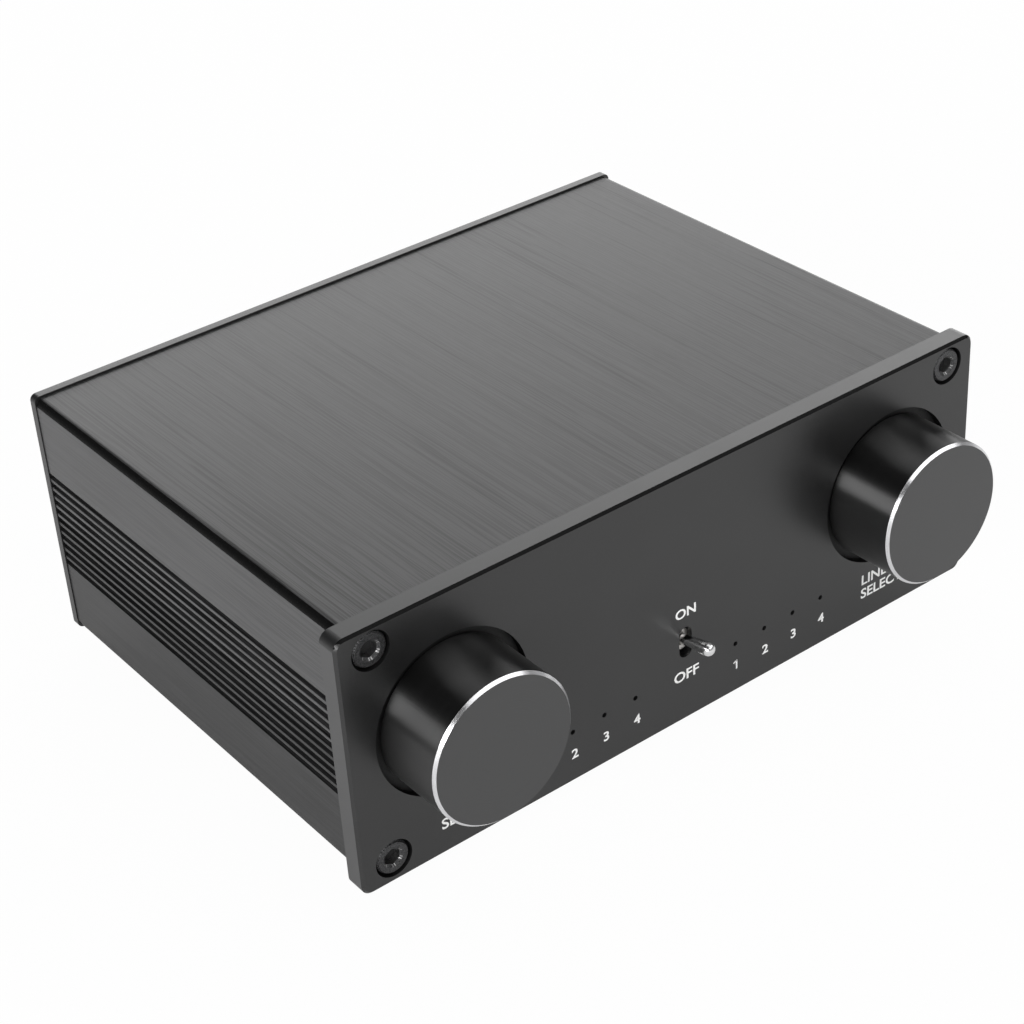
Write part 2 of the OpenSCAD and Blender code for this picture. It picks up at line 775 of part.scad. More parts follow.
module switch_washer(x) {
    difference() {
        bar(washer_d, pocket_deep - washer_t, pocket_deep, x, knob_z);
        bar(bush_d + 2*free_gap, pocket_deep - washer_t - cut, pocket_deep + cut, x, knob_z);
    }
}

module switch_nut(x) {
    nut_back = pocket_deep - washer_t;
    difference() {
        hex_bar(nut_key, nut_back - nut_t, nut_back, x, knob_z);
        bar(bush_d + 2*fit_gap, nut_back - nut_t - cut, nut_back + cut, x, knob_z);
    }
}

module input_knob() { color("#1d1d1f") knob(-knob_x); }
module input_knob_set_screw() { color("#1c1c1e") knob_set_screw(-knob_x); }
module input_switch_shaft() { color("silver") switch_shaft(-knob_x); }
module input_switch_rotor() { color("ivory") switch_rotor(-knob_x); }
module input_switch_bushing() { color("silver") switch_bushing(-knob_x); }
module input_switch_housing() { color("#202020") switch_housing(-knob_x); }
module input_switch_terminals() { color("goldenrod") switch_terminals(-knob_x); }
module input_switch_washer() { color("silver") switch_washer(-knob_x); }
module input_switch_nut() { color("silver") switch_nut(-knob_x); }
module output_knob() { color("#1d1d1f") knob(knob_x); }
module output_knob_set_screw() { color("#1c1c1e") knob_set_screw(knob_x); }
module output_switch_shaft() { color("silver") switch_shaft(knob_x); }
module output_switch_rotor() { color("ivory") switch_rotor(knob_x); }
module output_switch_bushing() { color("silver") switch_bushing(knob_x); }
module output_switch_housing() { color("#202020") switch_housing(knob_x); }
module output_switch_terminals() { color("goldenrod") switch_terminals(knob_x); }
module output_switch_washer() { color("silver") switch_washer(knob_x); }
module output_switch_nut() { color("silver") switch_nut(knob_x); }

// Round bar across the case, on the lever's pivot
module pivot_bar(d, len) {
    translate([0, front_y + pivot, toggle_z]) rotate([0, 90, 0]) cylinder(d = d, h = len, center = true);
}

module toggle_lever() {
    tip_r = lever_tip_d/2;
    tip_base = lever_len - tip_r;
    color("gainsboro") difference() {
        translate([0, front_y + pivot, toggle_z]) rotate([90 - lever_tilt, 0, 0]) {
            sphere(d = lever_ball_d);
            rotate_extrude() polygon([
                [0, 0], [lever_root_d/2, 0], [lever_root_d/2, flare_start], [lever_neck_d/2, flare_start + flare_len],
                [tip_r, tip_base], [0, tip_base]
            ]);
            translate([0, 0, tip_base]) sphere(r = tip_r);
            translate([0, 0, -lever_inner]) cylinder(d = lever_arm_d, h = lever_inner);
            translate([0, 0, -lever_inner]) sphere(d = lever_arm_d);
        }
        pivot_bar(lever_pin_d + 2*run_gap, lever_ball_d + 2*cut);
    }
}

module toggle_pivot_pin() {
    color("silver") pivot_bar(lever_pin_d, toggle_bush_d - 2*pin_end_gap);
}

module toggle_contact() {
    color("goldenrod") translate([0, front_y + rocker_axis, toggle_z]) rotate([rocker_tilt, 0, 0]) {
        cube([rocker_w, rocker_t, rocker_len], center = true);
        rotate([0, 90, 0]) cylinder(d = rocker_bead_d, h = rocker_w, center = true);
    }
}

module toggle_bushing() {
    ball_back = pivot + lever_ball_d/2;
    arm_bore = 4.8;
    color("silver") difference() {
        union() {
            bar(toggle_bush_d, toggle_face, toggle_open, 0, toggle_z);
            box(toggle_w, toggle_plate, toggle_open, toggle_z - toggle_h/2, toggle_z + toggle_h/2);
        }
        bar(lever_ball_d - lip_t, toggle_face - cut, pivot, 0, toggle_z);
        bar(lever_ball_d + 2*run_gap, toggle_face + lip_t, ball_back, 0, toggle_z);
        bar(arm_bore, ball_back - run_gap, toggle_open + cut, 0, toggle_z);
        pivot_bar(lever_pin_d + 2*fit_gap, toggle_bush_d + 2*cut);
    }
}

// Heights of the toggle's blades from its middle, with the depth where each starts
blade_rows = [[-blade_pitch, outer_blade], [0, middle_blade], [blade_pitch, outer_blade]];

module toggle_housing() {
    inner_h = toggle_h - 2*toggle_wall;
    back_wall = 1.5;
    color("#7a1f1f") difference() {
        box(toggle_w, toggle_open, board_front, toggle_z - toggle_h/2, toggle_z + toggle_h/2);
        box(toggle_w - 2*toggle_wall, toggle_open - cut, board_front - back_wall,
            toggle_z - inner_h/2, toggle_z + inner_h/2);
        for (row = blade_rows)
            box(blade_w + 2*fit_gap, toggle_open, board_front + cut,
                toggle_z + row[0] - blade_t/2 - fit_gap, toggle_z + row[0] + blade_t/2 + fit_gap);
    }
}

module toggle_terminals() {
    color("goldenrod") for (row = blade_rows)
        box(blade_w, row[1], terminal_end, toggle_z + row[0] - blade_t/2, toggle_z + row[0] + blade_t/2);
}

module front_board() {
    color("#1f5a34") difference() {
        box(board_w, board_front, board_back, front_board_low, front_board_high);
        for (sx = sides) {
            for (spot = terminal_spots)
                bar(terminal_d + 2*fit_gap, board_front - cut, board_back + cut,
                    sx*knob_x + spot[0], knob_z + spot[1]);
            for (offset = led_offsets, side = sides)
                bar(lead_t*sqrt(2) + 2*fit_gap, board_front - cut, board_back + cut,
                    sx*offset + side*lead_pitch/2, led_z);
        }
        for (row = blade_rows)
            bar(norm([blade_w, blade_t]) + 2*fit_gap, board_front - cut, board_back + cut,
                0, toggle_z + row[0]);
    }
}

module leds(side) {
    for (offset = led_offsets) {
        translate([side*offset, front_y + led_tip + led_d/2, led_z]) sphere(d = led_d);
        bar(led_d, led_tip + led_d/2, led_back, side*offset, led_z);
        bar(led_flange_d, led_shoulder, led_back, side*offset, led_z);
    }
}

module input_leds() { color("lightcyan") leds(-1); }
module output_leds() { color("lightcyan") leds(1); }

module led_leads() {
    color("silver") for (sx = sides, offset = led_offsets, side = sides)
        box(lead_t, led_back, terminal_end, led_z - lead_t/2, led_z + lead_t/2,
            sx*offset + side*lead_pitch/2);
}

module front_header() {
    color("#202020") box(header_w, board_back, ribbon_start, header_z - header_t/2, header_z + header_t/2);
}

module ribbon_cable() {
    bend_at = [front_y + ribbon_start + ribbon_run, header_z - ribbon_bend];
    low = main_top + header_deep;
    color("#8a8d92") rotate([90, 0, 90]) linear_extrude(ribbon_w, center = true) {
        translate([front_y + ribbon_start, header_z - ribbon_t/2]) square([ribbon_run, ribbon_t]);
        translate(bend_at) intersection() {
            difference() {
                circle(ribbon_bend + ribbon_t/2);
                circle(ribbon_bend - ribbon_t/2);
            }
            square(2*ribbon_bend);
        }
        translate([front_y + ribbon_drop - ribbon_t/2, low]) square([ribbon_t, bend_at[1] - low]);
    }
}

module main_header() {
    color("#202020")
        box(header_w, ribbon_drop - header_t/2, ribbon_drop + header_t/2, main_top, main_top + header_deep);
}

module main_board() {
    color("#1f5a34") difference() {
        box(board_w, main_front, main_back, main_low, main_top);
        for (sx = sides, depth = standoff_depths)
            post(small_d + 2*fit_gap, main_low - cut, main_top + cut, sx*standoff_x, depth);
    }
}

module board_standoffs() {
    color("goldenrod") for (sx = sides, depth = standoff_depths)
        translate([sx*standoff_x, front_y + depth, floor_z]) difference() {
            cylinder(d = standoff_key/cos(30), h = standoff_h, $fn = 6);
            translate([0, 0, -cut]) cylinder(d = small_d + 2*fit_gap, h = standoff_h + 2*cut);
        }
}

module board_screws() {
    color("silver") for (sx = sides, depth = standoff_depths)
        translate([sx*standoff_x, front_y + depth, main_top]) rotate([180, 0, 0])
            pan_screw(board_t + small_grip - grip_gap);
}

module standoff_screws() {
    color("silver") for (sx = sides, depth = standoff_depths)
        translate([sx*standoff_x, front_y + depth, foot_h]) difference() {
            union() {
                sunk_cone(0);
                cylinder(d = small_d, h = flat_wall + small_grip - grip_gap);
            }
            translate([0, 0, -cut])
                cylinder(d = small_key/cos(30), h = cut + small_head_h*socket_share, $fn = 6);
        }
}

module relays(side) {
    for (offset = jack_offsets)
        box(relay_w, relay_back - relay_d, relay_back, main_top, main_top + relay_h, side*jack_x + offset);
}

module input_relays() { color("#d8d8d2") relays(-1); }
module output_relays() { color("#d8d8d2") relays(1); }

module driver_chips() {
    color("#202020") for (sx = sides)
        box(chip_w, chip_back - chip_d, chip_back, main_top, main_top + chip_h, sx*jack_x);
}

module filter_capacitors() {
    color("#26304a") for (i = [-1:1])
        post(cap_d, main_top, main_top + cap_h, i*cap_pitch, relay_back - relay_d);
}

module voltage_regulator() {
    tab_front = chip_back - regulator_tab_t;
    color("#303030") {
        box(tab_w, tab_front, chip_back, main_top, main_top + tab_h);
        box(tab_w, chip_back - regulator_body_t, tab_front, main_top, main_top + regulator_body_h);
    }
}

module jack_block(side) {
    difference() {
        box(block_w, block_front, rear_in, main_top, block_top, side*jack_x);
        for (offset = jack_offsets, z = jack_rows)
            bar(spigot_d + 2*fit_gap, rear_in - spigot_len - fit_gap, rear_in + cut, side*jack_x + offset, z);
        for (end = sides)
            bar(small_d + 2*fit_gap, rear_in - small_grip - fit_gap, rear_in + cut,
                side*jack_x + end*block_screw_x, (jack_low_z + jack_high_z)/2);
    }
}

module jack_sleeves(side) {
    for (offset = jack_offsets, z = jack_rows)
        difference() {
            bar(sleeve_d, collar_face, sleeve_end, side*jack_x + offset, z);
            bar(sleeve_bore, collar_face - cut, sleeve_end + cut, side*jack_x + offset, z);
        }
}

// One row of jack inserts: spigot, collar and core, with the contact hole in the core
module jack_inserts(side, z) {
    core_r = sleeve_bore/2 - fit_gap;
    for (offset = jack_offsets)
        turned([
            [0, rear_in - spigot_len], [spigot_d/2, rear_in - spigot_len], [spigot_d/2, rear_in],
            [collar_d/2, rear_in], [collar_d/2, collar_face], [core_r, collar_face], [core_r, core_end],
            [contact_d/2, core_end], [contact_d/2, core_end - contact_deep], [0, core_end - contact_deep]
        ], side*jack_x + offset, z);
}

module input_jack_block() { color("#1a1a1a") jack_block(-1); }
module input_jack_sleeves() { color("gold") jack_sleeves(-1); }
module input_left_inserts() { color("white") jack_inserts(-1, jack_high_z); }
module input_right_inserts() { color("#b51f24") jack_inserts(-1, jack_low_z); }
module output_jack_block() { color("#1a1a1a") jack_block(1); }
module output_jack_sleeves() { color("gold") jack_sleeves(1); }
module output_left_inserts() { color("white") jack_inserts(1, jack_high_z); }
module output_right_inserts() { color("#b51f24") jack_inserts(1, jack_low_z); }

module jack_block_screws() {
    color("#1c1c1e") for (sx = sides, end = sides)
        translate([sx*jack_x + end*block_screw_x, front_y + rear_out, (jack_low_z + jack_high_z)/2])
            rotate([90, 0, 0]) pan_screw(rear_t + small_grip);
}

module power_jack() {
    color("#1a1a1a") difference() {
        union() {
            box(power_w, rear_in - power_deep, rear_in, main_top, main_top + power_h);
            bar(power_nose_d, rear_in - cut, rear_out, 0, power_z);
        }
        bar(power_bore, power_floor, rear_out + cut, 0, power_z);
    }
}

module power_jack_pin() {
    tip = power_pin_d/2;
    color("silver") {
        bar(power_pin_d, power_floor, rear_out - tip - power_pin_setback, 0, power_z);
        translate([0, front_y + rear_out - tip - power_pin_setback, power_z]) sphere(r = tip);
    }
}

front_panel();
upper_shell();
lower_shell();
rear_panel();
front_panel_screws();
rear_panel_screws();
rubber_feet();
foot_screws();
input_knob();
input_knob_set_screw();
input_switch_shaft();
input_switch_rotor();
input_switch_bushing();
input_switch_housing();
input_switch_terminals();
input_switch_washer();
input_switch_nut();
output_knob();
output_knob_set_screw();
output_switch_shaft();
output_switch_rotor();
output_switch_bushing();
output_switch_housing();
output_switch_terminals();
output_switch_washer();
output_switch_nut();
toggle_lever();
toggle_pivot_pin();
toggle_contact();
toggle_bushing();
toggle_housing();
toggle_terminals();
front_board();
input_leds();
output_leds();
led_leads();
front_header();
ribbon_cable();
main_header();
main_board();
board_standoffs();
board_screws();
standoff_screws();
input_relays();
output_relays();
driver_chips();
filter_capacitors();
voltage_regulator();
input_jack_block();
input_jack_sleeves();
input_left_inserts();
input_right_inserts();
output_jack_block();
output_jack_sleeves();
output_left_inserts();
output_right_inserts();
jack_block_screws();
power_jack();
power_jack_pin();
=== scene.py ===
import math
import bpy
from mathutils import Euler, Matrix, Vector


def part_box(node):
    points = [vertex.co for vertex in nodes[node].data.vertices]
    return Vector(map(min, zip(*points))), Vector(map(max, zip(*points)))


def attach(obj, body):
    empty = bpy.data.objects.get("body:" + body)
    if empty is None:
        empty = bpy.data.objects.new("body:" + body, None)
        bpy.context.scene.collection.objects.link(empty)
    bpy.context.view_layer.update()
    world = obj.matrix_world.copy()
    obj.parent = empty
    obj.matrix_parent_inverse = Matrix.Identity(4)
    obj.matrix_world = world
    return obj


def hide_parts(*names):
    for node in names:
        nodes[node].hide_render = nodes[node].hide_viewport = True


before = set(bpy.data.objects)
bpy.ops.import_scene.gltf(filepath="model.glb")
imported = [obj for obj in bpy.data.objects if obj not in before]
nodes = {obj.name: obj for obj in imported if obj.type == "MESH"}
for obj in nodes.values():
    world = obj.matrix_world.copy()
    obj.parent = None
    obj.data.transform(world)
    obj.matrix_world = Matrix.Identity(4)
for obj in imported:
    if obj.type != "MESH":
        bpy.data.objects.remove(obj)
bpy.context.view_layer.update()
scene = bpy.context.scene
scene.view_settings.view_transform = "Standard"
mm = 0.001
print("frame loaded:", len(nodes), "nodes")

panelLow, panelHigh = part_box("front_panel")
panelFace = panelLow.y  # front face of the front panel
panelMiddle = (panelLow.z + panelHigh.z) / 2
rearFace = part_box("rear_panel")[1].y  # outer face of the rear panel
knobLow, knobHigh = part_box("output_knob")
knobX = (knobLow.x + knobHigh.x) / 2
knobZ = (knobLow.z + knobHigh.z) / 2
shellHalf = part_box("upper_shell")[1].x  # half the width of the ribbed body


# camera and studio

cameraSetup = {
    "sensor": 36.0,  # mm
    "lens": 80.46,  # mm
    "place": (-307.0, -421.75, 372.55),  # mm
    "turn": 35.95,  # degrees to the right of straight ahead
    "dip": 32.88,  # degrees below level
    "roll": -3.93,  # degrees
}


def addCamera(setup):
    data = bpy.data.cameras.new("productCamera")
    data.sensor_width = setup["sensor"]
    data.lens = setup["lens"]
    camera = bpy.data.objects.new("productCamera", data)
    scene.collection.objects.link(camera)
    aim = Euler((math.radians(90 - setup["dip"]), 0, math.radians(-setup["turn"]))).to_matrix()
    aim = aim @ Matrix.Rotation(math.radians(setup["roll"]), 3, "Z")
    camera.matrix_world = Matrix.Translation(Vector(setup["place"]) * mm) @ aim.to_4x4()
    scene.camera = camera


softboxes = {  # places and sizes in metres
    "keyBox": {"place": (0.17, 0.05, 1.60), "aim": (0, 0, 0.05), "size": (2.4, 1.0), "radiance": 0.93},
    "frontBox": {"place": (0.75, -1.20, 1.15), "aim": (0, 0, 0.05), "size": (2.7, 0.8), "radiance": 1.9},
    "backBox": {"place": (0.85, 1.10, 0.58), "aim": (0, 0, 0.10), "size": (1.7, 1.0), "radiance": 2.6},
    "leftBox": {"place": (-1.20, -0.88, 0.47), "aim": (0, -0.88, 0.25), "size": (1.8, 0.52),
                "radiance": 8.0},
}


def addSoftbox(name, setup):
    data = bpy.data.lights.new(name, "AREA")
    data.shape = "RECTANGLE"
    data.size, data.size_y = setup["size"]
    data.energy = setup["radiance"] * math.pi * data.size * data.size_y
    lamp = bpy.data.objects.new(name, data)
    scene.collection.objects.link(lamp)
    lamp.location = setup["place"]
    lamp.rotation_euler = (Vector(setup["aim"]) - lamp.location).to_track_quat("-Z", "Y").to_euler()
    lamp.visible_camera = False


room = {
    "horizon": 0.40,  # brightness of the walls near the floor
    "zenith": 0.06,  # brightness of the upper walls and the ceiling
    "lipSine": 0.10,  # sines of the heights between which the walls darken
    "darkSine": 0.40,
}


def addRoom(setup):
    world = bpy.data.worlds.new("studioRoom")
    scene.world = world
    world.use_nodes = True
    tree = world.node_tree
    coords = tree.nodes.new("ShaderNodeTexCoord")
    split = tree.nodes.new("ShaderNodeSeparateXYZ")
    fade = tree.nodes.new("ShaderNodeMapRange")
    fade.interpolation_type = "SMOOTHSTEP"
    fade.inputs["From Min"].default_value = setup["lipSine"]
    fade.inputs["From Max"].default_value = setup["darkSine"]
    fade.inputs["To Min"].default_value = setup["horizon"]
    fade.inputs["To Max"].default_value = setup["zenith"]
    tree.links.new(coords.outputs["Generated"], split.inputs["Vector"])
    tree.links.new(split.outputs["Z"], fade.inputs["Value"])
    tree.links.new(fade.outputs["Result"], tree.nodes["Background"].inputs["Color"])


# material nodes

def startMaterial(name):
    material = bpy.data.materials.new(name)
    material.use_nodes = True
    tree = material.node_tree
    return material, tree, tree.nodes["Principled BSDF"]


def objectCoords(tree, stretch=(1, 1, 1)):
    coords = tree.nodes.new("ShaderNodeTexCoord")
    mapping = tree.nodes.new("ShaderNodeMapping")
    mapping.inputs["Scale"].default_value = stretch
    tree.links.new(coords.outputs["Object"], mapping.inputs["Vector"])
    return mapping.outputs["Vector"]


def splitCoords(tree):
    split = tree.nodes.new("ShaderNodeSeparateXYZ")
    tree.links.new(objectCoords(tree), split.inputs["Vector"])
    return split.outputs


def noise(tree, vector, scale=1.0, detail=2.0):
    node = tree.nodes.new("ShaderNodeTexNoise")
    node.inputs["Scale"].default_value = scale
    node.inputs["Detail"].default_value = detail
    tree.links.new(vector, node.inputs["Vector"])
    return node.outputs["Fac"]


def spread(tree, value, fromLow, fromHigh, toLow, toHigh):
    node = tree.nodes.new("ShaderNodeMapRange")
    node.inputs["From Min"].default_value = fromLow
    node.inputs["From Max"].default_value = fromHigh
    node.inputs["To Min"].default_value = toLow
    node.inputs["To Max"].default_value = toHigh
    tree.links.new(value, node.inputs["Value"])
    return node.outputs["Result"]


def calc(tree, operation, first, second=None):
    node = tree.nodes.new("ShaderNodeMath")
    node.operation = operation
    for socket, value in zip(node.inputs, (first, second)):
        if isinstance(value, (int, float)):
            socket.default_value = value
        elif value is not None:
            tree.links.new(value, socket)
    return node.outputs["Value"]


def mixShares(tree, first, second, share):  # share of the first, the rest of the second
    return calc(tree, "ADD", calc(tree, "MULTIPLY", first, share), calc(tree, "MULTIPLY", second, 1 - share))


def blendColour(tree, factor, low, high):
    node = tree.nodes.new("ShaderNodeMix")
    node.data_type = "RGBA"
    tree.links.new(factor, node.inputs["Factor"])
    sockets = [s for s in node.inputs if s.type == "RGBA"]
    for socket, value in zip(sockets, (low, high)):
        if isinstance(value, tuple):
            socket.default_value = (*value, 1)
        else:
            tree.links.new(value, socket)
    return [s for s in node.outputs if s.type == "RGBA"][0]


def relief(tree, shader, height, depth):  # depth in mm
    node = tree.nodes.new("ShaderNodeBump")
    node.inputs["Strength"].default_value = 1
    node.inputs["Distance"].default_value = depth * mm
    tree.links.new(height, node.inputs["Height"])
    tree.links.new(node.outputs["Normal"], shader.inputs["Normal"])


def alongTangent(tree, shader, direction):
    vector = tree.nodes.new("ShaderNodeCombineXYZ")
    for socket, number in zip(vector.inputs, direction):
        socket.default_value = number
    tree.links.new(vector.outputs["Vector"], shader.inputs["Tangent"])


coolTint = 1.02  # blue against red and green in the greys


def grey(value):
    return (value, value, value * coolTint)


# brushed body: lines along its length, painted shade in the grooves and painted light on the flanks

brushed = {"light": 0.047, "dark": 0.011, "scratch": 0.003, "groove": 0.036, "paintedFlankLight": (0.040, 0.074),
           "roughness": (0.365, 0.435)}
# the lower shell's copy is darker: painted shade on the lower half of the body
brushedLowShaded = {"light": 0.030, "dark": 0.010, "scratch": 0.006, "groove": 0.036, "paintedFlankLight": (0.014, 0.032),
              "roughness": (0.40, 0.43)}
brushLines = {
    "fine": (2700, 30, 2700),  # lines per metre across, along and up
    "broad": (800, 14, 800),
    "rare": (1500, 12, 1500),
    "fineShare": 0.85,
    "contrast": (0.44, 0.55),  # noise of the darkest and of the lightest line
    "scratches": (0.35, 0.375),  # noise of a full scratch and of none
    "roughSpan": (0.40, 0.60),  # noise of the smoothest and of the roughest line
    "depth": 0.005,  # mm
    "index": 1.5,
    "stretch": 0.7,  # of the gloss
    "stretchTurn": 0.25,
}
shellZones = {  # mm
    "paintedFlankLight": (0.3, 0.1),  # in from the widest part: where the painted light on the flank starts and is full
    "groove": (1.2, 0.7),  # in from the widest part: where the painted shade of a groove is full and where it is none
    "bandHalf": 14.65,  # half the height of the band of grooves
    "bandDrop": 0.6,  # from mid height
    "bandBlur": 0.3,
}


def inFromFlank(zone):
    return [shellHalf - inset * mm for inset in shellZones[zone]]


def ribbedBand(tree):  # 1 between the plain strips of the sides, 0 above and below
    half = shellZones["bandHalf"]
    height = calc(tree, "SUBTRACT", splitCoords(tree)["Z"], panelMiddle - shellZones["bandDrop"] * mm)
    return spread(tree, calc(tree, "ABSOLUTE", height), half * mm, (half + shellZones["bandBlur"]) * mm, 1, 0)


def brushedShell(name, setup):
    material, tree, shader = startMaterial(name)
    fine = noise(tree, objectCoords(tree, brushLines["fine"]))
    broad = noise(tree, objectCoords(tree, brushLines["broad"]))
    rare = noise(tree, objectCoords(tree, brushLines["rare"]), detail=1)
    mixed = mixShares(tree, fine, broad, brushLines["fineShare"])
    streaks = spread(tree, mixed, *brushLines["contrast"], 0, 1)
    scratches = spread(tree, rare, *brushLines["scratches"], 1, 0)
    tone = blendColour(tree, streaks, grey(setup["dark"]), grey(setup["light"]))
    tone = blendColour(tree, scratches, tone, grey(setup["scratch"]))
    reach = calc(tree, "ABSOLUTE", splitCoords(tree)["X"])
    # painted light: the flanks get a lighter copy of the streaks
    paintedFlankTone = blendColour(tree, streaks, *[grey(shade) for shade in setup["paintedFlankLight"]])
    tone = blendColour(tree, spread(tree, reach, *inFromFlank("paintedFlankLight"), 0, 1), tone, paintedFlankTone)
    # painted shade: the grooves of the ribbed band are darkened
    grooveShadeMask = spread(tree, reach, *inFromFlank("groove"), 1, 0)
    tone = blendColour(tree, calc(tree, "MULTIPLY", grooveShadeMask, ribbedBand(tree)), tone, grey(setup["groove"]))
    tree.links.new(tone, shader.inputs["Base Color"])
    rough = spread(tree, mixed, *brushLines["roughSpan"], *setup["roughness"])
    tree.links.new(rough, shader.inputs["Roughness"])
    shader.inputs["IOR"].default_value = brushLines["index"]
    shader.inputs["Anisotropic"].default_value = brushLines["stretch"]
    shader.inputs["Anisotropic Rotation"].default_value = brushLines["stretchTurn"]
    alongTangent(tree, shader, (0, 1, 0))
    relief(tree, shader, fine, brushLines["depth"])
    return material


# satin panels: a fine even grain with faint clouds

satin = {"light": 0.010, "dark": 0.006, "roughness": (0.29, 0.37)}
satinEndLightened = {"light": 0.046, "dark": 0.030, "roughness": (0.32, 0.42)}  # sawn ends of the front panel, lightened as painted light
satinGrain = {
    "grain": (3000, 3000, 3000),  # per metre
    "cloud": (60, 60, 60),
    "grainShare": 0.7,
    "contrast": (0.42, 0.58),
    "roughSpan": (0.35, 0.65),
    "depth": 0.003,  # mm
    "index": 1.6,
}


def satinPanel(name, setup):
    material, tree, shader = startMaterial(name)
    grain = noise(tree, objectCoords(tree, satinGrain["grain"]))
    cloud = noise(tree, objectCoords(tree, satinGrain["cloud"]), detail=3)
    mixed = mixShares(tree, grain, cloud, satinGrain["grainShare"])
    contrast = spread(tree, mixed, *satinGrain["contrast"], 0, 1)
    tone = blendColour(tree, contrast, grey(setup["dark"]), grey(setup["light"]))
    tree.links.new(tone, shader.inputs["Base Color"])
    rough = spread(tree, mixed, *satinGrain["roughSpan"], *setup["roughness"])
    tree.links.new(rough, shader.inputs["Roughness"])
    shader.inputs["IOR"].default_value = satinGrain["index"]
    relief(tree, shader, grain, satinGrain["depth"])
    return material


# turned knobs: lines round the side, rings on the face, a bright cut edge between them

turned = {
    "side": {"lines": (40, 9000, 40), "shades": (0.002, 0.004), "contrast": (0.35, 0.65),
             "roughness": (0.30, 0.33), "index": 1.68, "stretch": 1.0},
    "face": {"rings": 5200, "shades": (0.026, 0.036), "contrast": (0.3, 0.7),
             "roughness": (0.30, 0.38), "index": 1.6, "depth": 0.003},
    "ring": {"lines": (300, 9000, 300), "shades": (0.70, 0.82), "contrast": (0.35, 0.65),
             "roughness": (0.18, 0.26)},
}
turnedRoughSpan = (0.3, 0.7)  # noise of the smoothest and of the roughest line


def turnedTone(tree, shader, lines, setup):
    contrast = spread(tree, lines, *setup["contrast"], 0, 1)
    tone = blendColour(tree, contrast, *[grey(shade) for shade in setup["shades"]])
    tree.links.new(tone, shader.inputs["Base Color"])
    rough = spread(tree, lines, *turnedRoughSpan, *setup["roughness"])
    tree.links.new(rough, shader.inputs["Roughness"])


def knobSide(setup):
    material, tree, shader = startMaterial("knobSide")
    turnedTone(tree, shader, noise(tree, objectCoords(tree, setup["lines"])), setup)
    shader.inputs["IOR"].default_value = setup["index"]
    shader.inputs["Anisotropic"].default_value = setup["stretch"]
    alongTangent(tree, shader, (0, 1, 0))
    return material


def knobFace(setup):
    material, tree, shader = startMaterial("knobFace")
    place = splitCoords(tree)
    across = calc(tree, "SUBTRACT", calc(tree, "ABSOLUTE", place["X"]), knobX)
    up = calc(tree, "SUBTRACT", place["Z"], knobZ)
    squares = calc(tree, "ADD", calc(tree, "MULTIPLY", across, across), calc(tree, "MULTIPLY", up, up))
    rings = tree.nodes.new("ShaderNodeTexNoise")
    rings.noise_dimensions = "1D"
    rings.inputs["Scale"].default_value = setup["rings"]
    rings.inputs["Detail"].default_value = 2
    tree.links.new(calc(tree, "SQRT", squares), rings.inputs["W"])
    turnedTone(tree, shader, rings.outputs["Fac"], setup)
    shader.inputs["IOR"].default_value = setup["index"]
    relief(tree, shader, rings.outputs["Fac"], setup["depth"])
    return material


def knobRing(setup):
    material, tree, shader = startMaterial("knobRing")
    turnedTone(tree, shader, noise(tree, objectCoords(tree, setup["lines"])), setup)
    shader.inputs["Metallic"].default_value = 1
    return material


# plain finishes: grain is its size and depth its relief, in mm, and swing is how far the colour darkens

